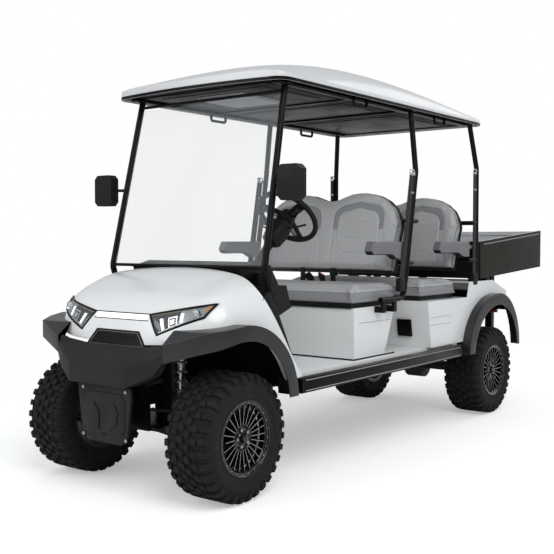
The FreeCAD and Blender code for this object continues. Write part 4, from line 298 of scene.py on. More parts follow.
def meshFrom(name, points, faces):
    mesh = bpy.data.meshes.new(name)
    mesh.from_pydata([tuple(p) for p in points], [], [tuple(f) for f in faces])
    with editing(mesh) as bm:
        bmesh.ops.remove_doubles(bm, verts=bm.verts, dist=1e-6)
        bmesh.ops.recalc_face_normals(bm, faces=bm.faces)
    return mesh


def ringFaces(rows, columns, closedRows=False, closedColumns=True):
    faces = []
    for i in range(rows if closedRows else rows - 1):
        for j in range(columns if closedColumns else columns - 1):
            a = i * columns + j
            b = i * columns + (j + 1) % columns
            below = ((i + 1) % rows) * columns
            faces.append((a, b, below + (j + 1) % columns, below + j))
    return faces


def tubeFaces(rows, columns):
    # rings joined into a tube, with its two end faces
    last = rows * columns - 1
    return ringFaces(rows, columns) + [tuple(range(columns)), tuple(range(last, last - columns, -1))]


def softenEdges(mesh, width, segments=2, angle=30):
    limit = math.radians(angle)
    with editing(mesh) as bm:
        chosen = [e for e in bm.edges if len(e.link_faces) == 2 and e.calc_face_angle(0) > limit]
        bmesh.ops.bevel(bm, geom=chosen, offset=width, offset_type="OFFSET", segments=segments, profile=0.6,
                        affect="EDGES", clamp_overlap=True)
    return mesh


def shadeSmooth(mesh, angle=38):
    with editing(mesh) as bm:
        for face in bm.faces:
            face.smooth = True
        for edge in bm.edges:
            edge.smooth = len(edge.link_faces) == 2 and edge.calc_face_angle(0) < math.radians(angle)
    return mesh


def joinMeshes(name, parts):
    # parts are (mesh, material) pairs; each keeps its own material
    points, faces, slots, smooth, sharp = [], [], [], [], []
    materials = []
    for mesh, material in parts:
        if material not in materials:
            materials.append(material)
        start = len(points)
        points += [tuple(v.co) for v in mesh.vertices]
        keys = mesh.edge_keys
        marked = {keys[e.index] for e in mesh.edges if e.use_edge_sharp}
        sharp += [(a + start, b + start) for a, b in marked]
        for face in mesh.polygons:
            faces.append([start + i for i in face.vertices])
            slots.append(materials.index(material))
            smooth.append(face.use_smooth)
    whole = bpy.data.meshes.new(name)
    whole.from_pydata(points, [], faces)
    for material in materials:
        whole.materials.append(material)
    whole.polygons.foreach_set("material_index", slots)
    whole.polygons.foreach_set("use_smooth", smooth)
    marked = {tuple(sorted(pair)) for pair in sharp}
    for edge in whole.edges:
        edge.use_edge_sharp = tuple(sorted(edge.vertices)) in marked
    whole.update()
    return whole


def settle(node, shape, body):
    # makes the finished piece, at the origin, on its body, in place of its CAD node
    piece = plainPiece(node + "_finish", shape)
    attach(piece, body)
    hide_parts(node)
    return piece


def finish(node, parts):
    return settle(node, joinMeshes(node + "_finish", parts), bodyOf[node])


def blockMesh(low, high, bevel=0.002, segments=2):
    xs, ys, zs = zip(low, high)
    points = [(x, y, z) for x in xs for y in ys for z in zs]
    faces = [(0, 1, 3, 2), (4, 6, 7, 5), (0, 4, 5, 1), (2, 3, 7, 6), (0, 2, 6, 4), (1, 5, 7, 3)]
    mesh = meshFrom("block", points, faces)
    if bevel:
        softenEdges(mesh, bevel, segments)
    return shadeSmooth(mesh)


def block(low, high, material, bevel=0.002, segments=2):
    return blockMesh(low, high, bevel, segments), material


def prismMesh(outline, normal, depth, bevel=0.002, segments=2):
    # a closed outline of points, thickened by depth along the normal
    shift = Vector(normal).normalized() * depth
    count = len(outline)
    points = [Vector(p) for p in outline] + [Vector(p) + shift for p in outline]
    faces = [tuple(range(count)), tuple(range(2 * count - 1, count - 1, -1))]
    faces += [(i, (i + 1) % count, count + (i + 1) % count, count + i) for i in range(count)]
    mesh = meshFrom("prism", points, faces)
    if bevel:
        softenEdges(mesh, bevel, segments)
    return shadeSmooth(mesh)


def turnedMesh(profile, centre, steps=64, axis="Y", closed=True, angle=32):
    # profile points are (along the axis, radius)
    points = []
    for i in range(steps):
        turn = 2 * math.pi * i / steps
        for along, radius in profile:
            flat = (radius * math.cos(turn), radius * math.sin(turn))
            spot = {"X": (along, *flat), "Y": (flat[0], along, flat[1]), "Z": (*flat, along)}[axis]
            points.append(Vector(spot) + Vector(centre))
    mesh = meshFrom("turned", points, ringFaces(steps, len(profile), True, closed))
    return shadeSmooth(mesh, angle)


def smoothPath(points, bend, steps=6):
    # straight runs with rounded corners
    points = [Vector(p) for p in points]
    path = [points[0]]
    for before, corner, after in zip(points, points[1:], points[2:]):
        wayIn = (before - corner).normalized()
        wayOut = (after - corner).normalized()
        half = wayIn.angle(wayOut) / 2
        back = min(bend / math.tan(half), (before - corner).length * 0.49, (after - corner).length * 0.49)
        radius = back * math.tan(half)
        centre = corner + (wayIn + wayOut).normalized() * (radius / math.sin(half))
        first = corner + wayIn * back - centre
        last = corner + wayOut * back - centre
        for i in range(steps + 1):
            path.append(centre + first.slerp(last, i / steps).normalized() * radius)
    path.append(points[-1])
    return path


def tubeMesh(path, radius, sides=20, closed=False, flatten=None):
    # round tube, or with flatten = (width, thickness, up) a strap
    path = [Vector(p) for p in path]
    count = len(path)
    if closed:
        ways = [(path[(i + 1) % count] - path[i - 1]).normalized() for i in range(count)]
    else:
        ways = [(path[min(i + 1, count - 1)] - path[max(i - 1, 0)]).normalized() for i in range(count)]
    up = Vector(flatten[2]) if flatten else ways[0].orthogonal()
    points = []
    for i in range(count):
        up = (up - ways[i] * up.dot(ways[i])).normalized()
        side = ways[i].cross(up)
        if flatten:
            half, thick = flatten[0] / 2, flatten[1] / 2
            corners = [(-half, -thick), (half, -thick), (half, thick), (-half, thick)]
            points += [path[i] + side * a + up * b for a, b in corners]
        else:
            for j in range(sides):
                turn = 2 * math.pi * j / sides
                points.append(path[i] + (up * math.cos(turn) + side * math.sin(turn)) * radius)
    sides = 4 if flatten else sides
    faces = ringFaces(count, sides, True) if closed else tubeFaces(count, sides)
    return shadeSmooth(meshFrom("tube", points, faces), 50)


def cadMesh(node, bevel=0.0, segments=2, angle=30):
    # a merged copy of a CAD node's mesh with its flats made whole and its edges eased
    mesh = frame["nodes"][node].data.copy()
    with editing(mesh) as bm:
        bmesh.ops.remove_doubles(bm, verts=bm.verts, dist=2e-5)
        bmesh.ops.dissolve_degenerate(bm, edges=bm.edges, dist=1e-5)
        bmesh.ops.dissolve_limit(bm, angle_limit=math.radians(0.6), verts=bm.verts, edges=bm.edges)
    mesh.materials.clear()
    if bevel:
        softenEdges(mesh, bevel, segments, angle)
    return shadeSmooth(mesh, angle)


def movedMesh(mesh, matrix):
    copy = mesh.copy()
    copy.transform(matrix)
    return copy


def withMirror(parts):
    # adds the twins across the middle plane, faces turned outwards again
    twins = []
    for mesh, material in parts:
        copy = movedMesh(mesh, Matrix.Scale(-1, 4, (0, 1, 0)))
        copy.flip_normals()
        twins.append((copy, material))
    return parts + twins


def repeatTree(name):
    # Geometry Nodes: copies of the input round the Y axis, each a little off its even pitch
    tree = bpy.data.node_groups.new(name, "GeometryNodeTree")
    face = tree.interface
    wanted = [("Count", "NodeSocketInt"), ("Start", "NodeSocketFloat"), ("Wobble", "NodeSocketFloat"),
              ("Seed", "NodeSocketInt"), ("Finish", "NodeSocketMaterial")]
    face.new_socket(name="Geometry", in_out="OUTPUT", socket_type="NodeSocketGeometry")
    face.new_socket(name="Geometry", in_out="INPUT", socket_type="NodeSocketGeometry")
    keys = {word: face.new_socket(name=word, in_out="INPUT", socket_type=kind).identifier
            for word, kind in wanted}
    given = addNode(tree, "NodeGroupInput").outputs
    line = addNode(tree, "GeometryNodeMeshLine", {"mode": "OFFSET"},
                   {"Count": given["Count"], "Offset": (0.0, 0.0, 0.0)})
    chance = addNode(tree, "FunctionNodeRandomValue", {"data_type": "FLOAT"},
                     {"Min": -1.0, "Max": 1.0, "Seed": given["Seed"]})
    wobble = addNode(tree, "ShaderNodeMath", {"operation": "MULTIPLY"},
                     {0: given["Wobble"], 1: chance.outputs["Value"]})
    pitch = addNode(tree, "ShaderNodeMath", {"operation": "DIVIDE"}, {0: 2 * math.pi, 1: given["Count"]})
    index = addNode(tree, "GeometryNodeInputIndex")
    turn = addNode(tree, "ShaderNodeMath", {"operation": "MULTIPLY_ADD"},
                   {0: index.outputs[0], 1: pitch.outputs[0], 2: given["Start"]})
    total = addNode(tree, "ShaderNodeMath", {"operation": "ADD"}, {0: turn.outputs[0], 1: wobble.outputs[0]})
    angles = addNode(tree, "ShaderNodeCombineXYZ", inputs={"Y": total.outputs[0]})
    copies = addNode(tree, "GeometryNodeInstanceOnPoints",
                     inputs={"Points": line.outputs["Mesh"], "Instance": given["Geometry"],
                             "Rotation": angles.outputs["Vector"]})
    real = addNode(tree, "GeometryNodeRealizeInstances", inputs={"Geometry": copies.outputs["Instances"]})
    painted = addNode(tree, "GeometryNodeSetMaterial",
                      inputs={"Geometry": real.outputs["Geometry"], "Material": given["Finish"]})
    addNode(tree, "NodeGroupOutput", inputs={"Geometry": painted.outputs["Geometry"]})
    return tree, keys


roundTree, roundKeys = repeatTree("repeatRoundAxle")


def repeated(unit, material, count, start=0.0, wobble=0.0, seed=1, angle=38):
    # runs the tree on one unit and gives back a plain (mesh, material) pair
    carrier = plainPiece("carrier", unit)
    modifier = carrier.modifiers.new("repeat", "NODES")
    modifier.node_group = roundTree
    values = {"Count": count, "Start": start, "Wobble": wobble, "Seed": seed, "Finish": material}
    for word, value in values.items():
        modifier[roundKeys[word]] = value
    mesh = evaluated(carrier)
    mesh.materials.clear()
    return shadeSmooth(mesh, angle), material


def glow(tree, strength):
    light = addNode(tree, "ShaderNodeEmission", inputs={"Color": (1, 1, 1, 1), "Strength": strength})
    return light.outputs[0]


def mixed(tree, share, first, second):
    return addNode(tree, "ShaderNodeMixShader", inputs={0: share, 1: first, 2: second}).outputs[0]


def makeWorld(values):
    # the camera and clear parts see plain white, the object is lit by a dimmer dome
    world = bpy.data.worlds.new("studioWorld")
    bpy.context.scene.world = world
    tree = freshTree(world)
    rays = addNode(tree, "ShaderNodeLightPath").outputs
    seen = addNode(tree, "ShaderNodeMath", {"operation": "MAXIMUM"},
                   {0: rays["Is Camera Ray"], 1: rays["Is Transmission Ray"]}).outputs[0]
    dome = addNode(tree, "ShaderNodeBackground",
                   inputs={"Color": toLinear(values["dome"]), "Strength": values["domeStrength"]}).outputs[0]
    white = addNode(tree, "ShaderNodeBackground", inputs={"Color": (1, 1, 1, 1), "Strength": 1.0}).outputs[0]
    addNode(tree, "ShaderNodeOutputWorld", inputs={"Surface": mixed(tree, seen, dome, white)})


def makeFloor(values):
    # matt floor with its shadow, glowing a little to the camera and fading into the backdrop
    paint = bpy.data.materials.new("paleStudioFloor")
    tree = freshTree(paint)
    toCamera = addNode(tree, "ShaderNodeLightPath").outputs["Is Camera Ray"]
    place = addNode(tree, "ShaderNodeTexCoord").outputs["Object"]
    patch = addNode(tree, "ShaderNodeTexNoise", inputs={"Vector": place, "Scale": values["floorPatchScale"]})
    tint = addNode(tree, "ShaderNodeMix", {"data_type": "RGBA"}, {0: patch.outputs["Fac"]})
    for socket, shade in zip((6, 7), values["floorTints"]):
        tint.inputs[socket].default_value = toLinear(shade)
    matt = addNode(tree, "ShaderNodeBsdfDiffuse", inputs={"Color": tint.outputs[2]})
    seen = mixed(tree, toCamera, glow(tree, 0.0), glow(tree, values["floorGlow"]))
    near = addNode(tree, "ShaderNodeAddShader", inputs={0: matt.outputs[0], 1: seen}).outputs[0]
    reach = addNode(tree, "ShaderNodeVectorMath", {"operation": "LENGTH"}, {0: place})
    start, end = values["fade"]
    fade = addNode(tree, "ShaderNodeMapRange",
                   inputs={"Value": reach.outputs["Value"], "From Min": start, "From Max": end})
    far = addNode(tree, "ShaderNodeMath", {"operation": "MULTIPLY"}, {0: fade.outputs["Result"], 1: toCamera})
    addNode(tree, "ShaderNodeOutputMaterial",
            inputs={"Surface": mixed(tree, far.outputs[0], near, glow(tree, 1.0))})
    half = values["floorHalf"]
    mesh = meshFrom("studioFloor", [(-half, -half, 0), (half, -half, 0), (half, half, 0), (-half, half, 0)],
                    [(0, 1, 2, 3)])
    mesh.materials.append(paint)
    plainPiece("studioFloor", mesh)


makeCamera(cameraSettings)
for lampName, lampValues in lampSettings.items():
    makeLamp(lampName, lampValues)
bpy.context.scene.view_settings.view_transform = "Standard"
makeWorld(studioSettings)
makeFloor(studioSettings)
print("studio ready")


def dress(node, material, bevel=0.0, segments=2, angle=30, extra=()):
    # the CAD shape with eased edges, and whatever is fixed to it
    return finish(node, [(cadMesh(node, bevel, segments, angle), material)] + list(extra))


# wheels: one tyre and one rim made at the origin with the outside towards +Y
tyreSettings = {
    "crest": 0.2893,
    "root": 0.2700,
    "lugs": 32,
    "profile": [(0.0, 0.2768), (0.060, 0.2766), (0.098, 0.2742), (0.1105, 0.2660), (0.1165, 0.2520),
                (0.1195, 0.2380), (0.1212, 0.2365), (0.1214, 0.2325), (0.1198, 0.2310), (0.1205, 0.2170),
                (0.1190, 0.2010), (0.1172, 0.1990), (0.1160, 0.1900), (0.1158, 0.1800), (0.1166, 0.1760),
                (0.1160, 0.1725), (0.1088, 0.1712), (0.1085, 0.1560)],
    # rows: axial centre, half pitch turned, outline of the block as (round, across) in millimetres
    "rows": [
        (0.0175, 0.0, [(-17, -14), (3, -15), (15, -6), (17, 8), (6, 15), (-12, 14), (-16, 3)]),
        (-0.0175, 0.5, [(-6, -15), (12, -14), (16, -3), (17, 14), (-3, 15), (-15, 6), (-17, -8)]),
        (0.0570, 0.45, [(-16, -15), (8, -17), (17, -9), (14, 4), (17, 16), (-4, 17), (-15, 9), (-12, -3)]),
        (-0.0570, 0.95, [(-17, 16), (-12, 3), (-15, -9), (-4, -17), (17, -16), (12, -3), (15, 9), (8, 17)]),
    ],
    "shoulder": [(0.079, 0.2700), (0.079, 0.2888), (0.100, 0.2878), (0.1125, 0.2815), (0.1190, 0.2700),
                 (0.1222, 0.2560), (0.1235, 0.2440), (0.1150, 0.2440), (0.100, 0.2650)],
    "shortShoulder": [(0.084, 0.2700), (0.084, 0.2888), (0.103, 0.2872), (0.1130, 0.2805), (0.1185, 0.2700),
                      (0.1205, 0.2620), (0.1120, 0.2600), (0.100, 0.2650)],
    "shoulderHalf": 0.0135,
    # slices of a shoulder block, as (place over its half width, share of its height)
    "shoulderSlices": ((-1, 0.88), (-0.82, 1.0), (0.82, 1.0), (1, 0.88)),
    "shoulderKept": 0.2650,
    "shoulderEased": 0.2720,
    # rings of a tread block under its crest, as (drop, share of its outline)
    "lugFoot": 1.08,
    "lugRings": ((0.0022, 0.98), (0.0006, 0.93), (0.0, 0.84)),
    "wobble": 0.006,
    "shoulderWobble": 0.003,
    "shadeAngle": 34,
}


def lugMesh(outline, across, values):
    # a block on the tread: sides drawn in a little, edges rounded over at the top
    rings = [(values["root"], values["lugFoot"])]
    rings += [(values["crest"] - drop, share) for drop, share in values["lugRings"]]
    centreX = sum(p[0] for p in outline) / len(outline) / 1000
    centreY = sum(p[1] for p in outline) / len(outline) / 1000
    points = []
    for level, share in rings:
        for x, y in outline:
            points.append((centreX + (x / 1000 - centreX) * share,
                           across + centreY + (y / 1000 - centreY) * share, level))
    return meshFrom("lug", points, tubeFaces(len(rings), len(outline)))


def shoulderMesh(section, side, values):
    # a block that wraps from the tread edge down onto the side wall
    points = []
    for i, share in values["shoulderSlices"]:
        for y, radius in section:
            inner = min(radius, values["shoulderKept"])
            drawn = inner + (radius - inner) * share if radius > values["shoulderEased"] else radius
            points.append((i * values["shoulderHalf"], side * y, drawn))
    return meshFrom("shoulderLug", points, tubeFaces(len(values["shoulderSlices"]), len(section)))


def tyreMesh(values):
    half = values["profile"]
    profile = half + [(-y, r) for y, r in reversed(half) if y]
    carcass = turnedMesh(profile, (0, 0, 0), 96, angle=40)
    parts = [(carcass, tyreRubber)]
    pitch, angle = 2 * math.pi / values["lugs"], values["shadeAngle"]
    for seed, (across, start, outline) in enumerate(values["rows"]):
        unit = lugMesh(outline, across, values)
        parts.append(repeated(unit, tyreRubber, values["lugs"], start * pitch, values["wobble"], seed, angle))
    few, wobble = values["lugs"] // 2, values["shoulderWobble"]
    for side in leftAndRight:
        for seed, (shape, start) in enumerate((("shoulder", 0.2), ("shortShoulder", 0.7))):
            unit = shoulderMesh(values[shape], side, values)
            # the right shoulder is half a block behind the left one
            turn = (start + (0.25 if side < 0 else 0)) * pitch * 2
            parts.append(repeated(unit, tyreRubber, few, turn, wobble, seed + 7, angle))
    return joinMeshes("tyreShape", parts)


rimSettings = {
    "barrel": [(0.1150, 0.1700), (0.1150, 0.1665), (0.1125, 0.1640), (0.1090, 0.1632), (0.1060, 0.1600),
               (0.1040, 0.1520), (0.1000, 0.1490), (0.0600, 0.1465), (-0.0900, 0.1450), (-0.1140, 0.1450),
               (-0.1140, 0.1690), (-0.1092, 0.1690), (-0.1090, 0.1515), (0.1088, 0.1515), (0.1090, 0.1690)],
    "spokes": 24,
    "spoke": [(0.050, 0.0925), (0.075, 0.0965), (0.120, 0.1010), (0.1475, 0.1035), (0.1475, 0.0900),
              (0.120, 0.0830), (0.075, 0.0740), (0.050, 0.0690)],
    "spokeHalf": 0.0024,
    "hub": [(0.0930, 0.0), (0.0935, 0.0240), (0.0905, 0.0270), (0.0860, 0.0290), (0.0855, 0.0480),
            (0.0905, 0.0530), (0.0940, 0.0560), (0.0930, 0.0600), (0.0880, 0.0610), (0.0560, 0.0540),
            (-0.0150, 0.0500), (-0.0150, 0.0)],
    "cap": [(0.1130, 0.0), (0.1135, 0.0140), (0.1115, 0.0180), (0.1060, 0.0205), (0.0935, 0.0225),
            (0.0900, 0.0225), (0.0900, 0.0)],
    "lip": [(0.1146, 0.1656), (0.1152, 0.1668), (0.1154, 0.1688), (0.1150, 0.1702), (0.1140, 0.1703),
            (0.1140, 0.1656)],
    "drum": [(0.070, 0.1380), (0.072, 0.1448), (-0.020, 0.1448), (-0.020, 0.1380)],
    "brake": [(0.020, 0.0), (0.020, 0.1180), (0.014, 0.1215), (-0.010, 0.1215), (-0.010, 0.0)],
    # machined line down the face of every spoke, as (along the axle, radius)
    "shine": [(0.0960, 0.060), (0.1040, 0.1440), (0.1010, 0.1440), (0.0930, 0.060)],
    "shineWide": 0.0018,
    "nuts": 5,
    "nutCircle": 0.0385,
    "nutRadius": 0.0088,
    "nutFoot": 0.0860,
    "nutTall": 0.0125,
    "valve": [(0.1400, 0.098, 0.0), (0.1330, 0.112, 0.0)],
    "valveRadius": 0.0038,
    "rivet": [(0.1085, 0.0), (0.1118, 0.0), (0.1112, 0.0022), (0.1085, 0.0034)],
    "rivets": 24,
    "rivetCircle": 0.1592,
}


def rimMesh(values):
    axle = (0, 0, 0)
    half = values["spokeHalf"]
    spoke = prismMesh([(-half, y, r) for r, y in values["spoke"]], (1, 0, 0), half * 2, 0.0008, 2)
    shineWide = values["shineWide"]
    shine = prismMesh([(-shineWide / 2, y, r) for y, r in values["shine"]], (1, 0, 0), shineWide, 0)
    hexagon = []
    for i in range(6):
        turn = math.radians(60 * i)
        hexagon.append((values["nutRadius"] * math.cos(turn), values["nutFoot"],
                        values["nutRadius"] * math.sin(turn) + values["nutCircle"]))
    nut = prismMesh(hexagon, (0, 1, 0), values["nutTall"], 0.0012, 2)
    rivet = turnedMesh(values["rivet"], (0, 0, values["rivetCircle"]), 10, closed=False)
    return joinMeshes("rimShape", [
        (turnedMesh(values["barrel"], axle, 96, angle=30), blackLacquer),
        (turnedMesh(values["lip"], axle, 96, angle=60), blackLacquer),
        repeated(spoke, blackLacquer, values["spokes"], angle=50),
        repeated(shine, turnedAlloy, values["spokes"], angle=50),
        (turnedMesh(values["drum"], axle, 72), turnedAlloy),
        (turnedMesh(values["brake"], axle, 72, closed=False), paintedCasting),
        (turnedMesh(values["hub"], axle, 64, closed=False), blackLacquer),
        (turnedMesh(values["cap"], axle, 48, closed=False), blackLacquer),
        repeated(nut, zincSteel, values["nuts"], 0.3),
        repeated(rivet, zincSteel, values["rivets"], 0.13),
        (tubeMesh(values["valve"], values["valveRadius"], 10), blackPowderCoat),
    ])


tyreShape = tyreMesh(tyreSettings)
rimShape = rimMesh(rimSettings)
for axleX, axleWord in ((frontAxle, "front"), (rearAxle, "rear")):
    for side, sideWord in ((1, "left"), (-1, "right")):
        spot = Matrix.Translation((axleX, side * wheelSide, wheelHeight))
        if side < 0:
            spot = spot @ Matrix.Rotation(math.pi, 4, "Z")
        place = f"{axleWord}_{sideWord}"
        for shape, part, slotName in ((tyreShape, "tyre", "tyre_rubber"), (rimShape, "rim", "rim_black")):
            settle(f"{part}_{place}", movedMesh(shape, spot), f"wheel_{place}")
print("wheels made:", len(tyreShape.polygons), "tyre faces")

# padded pieces: the CAD solid, tucked in, remeshed, blown up as cloth, then seamed
padSettings = {
    "voxel": 0.0075,
    "tuck": 0.004,
    "cloth": {"quality": 3, "mass": 0.25, "tension_stiffness": 30, "compression_stiffness": 30,
              "shear_stiffness": 15, "bending_stiffness": 4, "use_pressure": True,
              "uniform_pressure_force": 4.0, "vertex_group_mass": "held"},
    "lastFrame": 20,
    "grooveWide": 0.0042,
    "grooveDeep": 0.0034,
    "grooveReach": 0.012,
    "weltRound": 0.0019,
}


def modified(mesh, kind, **settings):
    carrier = plainPiece("carrier", mesh)
    modifier = carrier.modifiers.new("change", kind)
    for key, value in settings.items():
        setattr(modifier, key, value)
    return evaluated(carrier)


def eased(mesh, rounds, tuck, held):
    # smooths and draws in the skin; points that held() keeps stay where they are
    with editing(mesh) as bm:
        free = [v for v in bm.verts if not held(v.co)]
        for _ in range(rounds):
            bmesh.ops.smooth_vert(bm, verts=free, factor=0.5,
                                  use_axis_x=True, use_axis_y=True, use_axis_z=True)
        bm.normal_update()
        for vert in free:
            vert.co -= vert.normal * tuck
    return mesh


def inflated(mesh, held, cap, values):
    # cloth under pressure for a few frames; no point moves further than the cap
    if not cap:
        return mesh
    pad = plainPiece("padSim", mesh)
    group = pad.vertex_groups.new(name="held")
    rest = [v.co.copy() for v in mesh.vertices]
    group.add([i for i, place in enumerate(rest) if held(place)], 1.0, "REPLACE")
    cloth = pad.modifiers.new("cloth", "CLOTH")
    for key, value in values["cloth"].items():
        setattr(cloth.settings, key, value)
    cloth.settings.effector_weights.gravity = 0
    cloth.point_cache.frame_start = 1
    cloth.point_cache.frame_end = values["lastFrame"]
    for count in range(1, values["lastFrame"] + 1):
        bpy.context.scene.frame_set(count)
    blown = evaluated(pad)
    bpy.context.scene.frame_set(1)
    for vert, start in zip(blown.vertices, rest):
        way = vert.co - start
        if way.length > cap:
            vert.co = start + way * (cap / way.length)
    return blown


def padMesh(node, held, cap, rounds, values, reshape=None):
    mesh = frame["nodes"][node].data.copy()
    with editing(mesh) as bm:
        bmesh.ops.remove_doubles(bm, verts=bm.verts, dist=2e-5)
    mesh.materials.clear()
    mesh = modified(mesh, "REMESH", mode="VOXEL", voxel_size=values["voxel"])
    if reshape:
        reshape(mesh)
    mesh = inflated(eased(mesh, rounds, values["tuck"], held), held, cap, values)
    mesh = modified(mesh, "SUBSURF", levels=1, render_levels=1)
    mesh.materials.clear()
    print("pad made:", node, len(mesh.polygons), "faces")
    return mesh


def lineDistance(place, line):
    best = 1.0
    for a, b in zip(line, line[1:]):
        along = b - a
        share = max(0.0, min(1.0, (place - a).dot(along) / along.length_squared))
        best = min(best, (place - a - along * share).length)
    return best


def seamed(mesh, flatOf, lines, faced, values, recess=None):
    # presses every seam line, and the sunk band, into the skin along its normal
    reach = values["grooveReach"]
    boxes = [(min(p.x for p in line) - reach, max(p.x for p in line) + reach,
              min(p.y for p in line) - reach, max(p.y for p in line) + reach) for line in lines]
    normals = [v.normal.copy() for v in mesh.vertices]
    for vert, normal in zip(mesh.vertices, normals):
        if not faced(vert.co, normal):
            continue
        flat = flatOf(vert.co)
        groove = 0.0
        for line, box in zip(lines, boxes):
            if box[0] < flat.x < box[1] and box[2] < flat.y < box[3]:
                gap = lineDistance(flat, line)
                groove = max(groove, values["grooveDeep"] * math.exp(-(gap / values["grooveWide"]) ** 2))
        vert.co -= normal * (groove + (recess(flat) if recess else 0.0))
    mesh.update()
    return mesh


def bvhOf(mesh):
    return BVHTree.FromPolygons([v.co for v in mesh.vertices], [tuple(f.vertices) for f in mesh.polygons])


def weltOn(mesh, path, way, lift, thick):
    # a cord laid where rays along the way meet the skin
    tree = bvhOf(mesh)
    spots = []
    for place in path:
        hit, normal, _, _ = tree.ray_cast(Vector(place), Vector(way))
        if hit is not None:
            spots.append(hit + normal * lift)
    return tubeMesh(spots, thick, 8)


def levelWays(count, stretchX, stretchY):
    turns = [2 * math.pi * i / count for i in range(count)]
    return [Vector((math.cos(turn) * stretchX, math.sin(turn) * stretchY, 0)).normalized() for turn in turns]


def skinRing(tree, centre, ways, reach, lift):
    # where rays from outside towards the centre meet the skin
    ring = []
    for way in ways:
        hit, normal, _, _ = tree.ray_cast(centre + way * reach, -way)
        if hit is not None:
            ring.append(hit + lift(normal))
    return ring


def denser(line, step):
    spots = [line[0]]
    for a, b in zip(line, line[1:]):
        count = max(1, round((b - a).length / step))
        spots += [a.lerp(b, i / count) for i in range(1, count + 1)]
    return spots


def onlyFaces(mesh, wanted):
    # a copy that keeps the faces whose numbers are wanted
    share = mesh.copy()
    with editing(share) as bm:
        bmesh.ops.delete(bm, geom=[f for f in bm.faces if f.index not in wanted], context="FACES")
    return share


def painted(mesh, materialOf):
    # splits a mesh by the finish that the middle of each face asks for
    groups = {}
    for face in mesh.polygons:
        groups.setdefault(materialOf(face.center, face.normal), set()).add(face.index)
    mesh.polygons.foreach_set("use_smooth", [True] * len(mesh.polygons))
    return [(onlyFaces(mesh, wanted), material) for material, wanted in groups.items()]


benchSettings = {
    "front_cushion": (0.975, 1.445),
    "rear_cushion": (1.735, 2.205),
    "low": 0.8266,
    "held": 0.010,
    "high": 0.9106,
    "boxing": 0.8860,
    "cap": 0.017,
    "rounds": 14,
    # sewn panel of each seat: its sides across, its margins along, its cut corners
    "panel": (0.055, 0.435),
    "panelRear": 0.075,
    "panelFront": 0.085,
    "panelCorner": 0.035,
    "crossSeam": 0.17,
    "fill": 0.8,
}


def cushion(values, node):
    near, far = values[node]
    middle = behind((near + far) / 2)
    half = (far - near) / 2
    mesh = padMesh(node, lambda place: place.z < values["low"] + values["held"], values["cap"],
                   values["rounds"], padSettings)
    inner, outer = values["panel"]
    rear, front, corner = -half + values["panelRear"], half - values["panelFront"], values["panelCorner"]
    cross = -half + values["crossSeam"]
    lines = []
    for side in leftAndRight:
        outline = [(rear, inner), (front - corner, inner), (front, inner + corner), (front, outer - corner),
                   (front - corner, outer), (rear, outer)]
        for line in (outline, [(cross, inner), (cross, outer)]):
            lines.append([Vector((x, side * y)) for x, y in line])
    seamed(mesh, lambda place: Vector((place.x - middle, place.y)), lines,
           lambda place, normal: normal.z > 0.4, padSettings)
    # the sides below the welt take the darker vinyl as painted shade
    parts = painted(mesh, lambda place, normal: shadedVinyl if place.z < values["boxing"] else lightVinyl)
    ring = skinRing(bvhOf(mesh), Vector((middle, 0, values["boxing"])), levelWays(180, 1, 2.1), 0.9,
                    lambda normal: normal * 0.0004)
    parts.append((tubeMesh(ring, padSettings["weltRound"] * 1.2, 8, True), paleWelt))
    above = values["high"] + 0.1
    for line in lines:
        path = [(middle + p.x, p.y, above) for p in denser(line, 0.02)]
        parts.append((weltOn(mesh, path, (0, 0, -1), -0.0004, padSettings["weltRound"] * 0.7), lightVinyl))
    finish(node, parts)


backSettings = {
    "front_backrest": 1.420,
    "rear_backrest": 2.180,
    "lean": 12.0,
    "foot": 0.985,
    "seat": 0.222,
    "shellDepth": 0.058,
    # top line over half the width, as (across, up the back)
    "topLine": [(0.0, 0.436), (0.04, 0.440), (0.09, 0.459), (0.15, 0.479), (0.21, 0.485), (0.27, 0.480),
                (0.33, 0.464), (0.39, 0.434), (0.44, 0.392), (0.47, 0.345), (0.49, 0.285)],
    "still": 0.20,
    "slice": 0.006,
    "cap": 0.009,
    "rounds": 9,
    # arches: half width, top, corner radius, spread of the feet
    "outerArch": (0.178, 0.418, 0.085, 0.012),
    "innerArch": (0.142, 0.380, 0.070, -0.004),
    "archFoot": 0.035,
    "archStraight": 0.10,
    "archRise": 0.018,
    # each chevron seam as (across, up) from its level
    "chevron": [(-0.128, 0.042), (-0.085, 0.0), (0.085, 0.0), (0.128, 0.042)],
    "chevrons": (0.105, 0.195, 0.285),
    "middleSeam": [(0.046, 0.400), (0.034, 0.20), (0.050, 0.03)],
    "seamFacing": 0.35,
    # the band between the arches: where it ends, how deep it lies and where its painted shade begins
    "bandTop": 0.43,
    "bandReach": 0.02,
    "sunk": 0.0045,
    "sunkFrom": 0.17,
    "shadedFrom": 0.25,
    "footTrim": 0.012,
    "sideFacing": 0.5,
    "sideDepth": 0.012,
    # cords round the edge: start and sweep in half turns, their centre up the back, depth of the front one
    "edgeSweep": (-0.25, 1.5),
    "edgeSteps": 160,
    "edgeStretch": 2.0,
    "edgeCentre": 0.235,
    "edgeWelt": 0.016,
    "edgeRound": 0.0024,
    "fill": 0.75,
}


def archLine(centre, arch, values):
    # up one side, round an arched top and down the other
    half, high, corner, spread = arch
    low, bend = values["archFoot"], values["archFoot"] + values["archStraight"]
    turned = high - values["archRise"] - corner

    def quarter(middle, start):
        turns = [start - math.pi / 2 * i / 8 for i in range(9)]
        return [Vector((middle + corner * math.cos(turn), turned + corner * math.sin(turn)))
                for turn in turns]

    return ([Vector((centre - half - spread, low)), Vector((centre - half, bend))]
            + quarter(centre - half + corner, math.pi) + [Vector((centre, high))]
            + quarter(centre + half - corner, math.pi / 2)
            + [Vector((centre + half, bend)), Vector((centre + half + spread, low))])


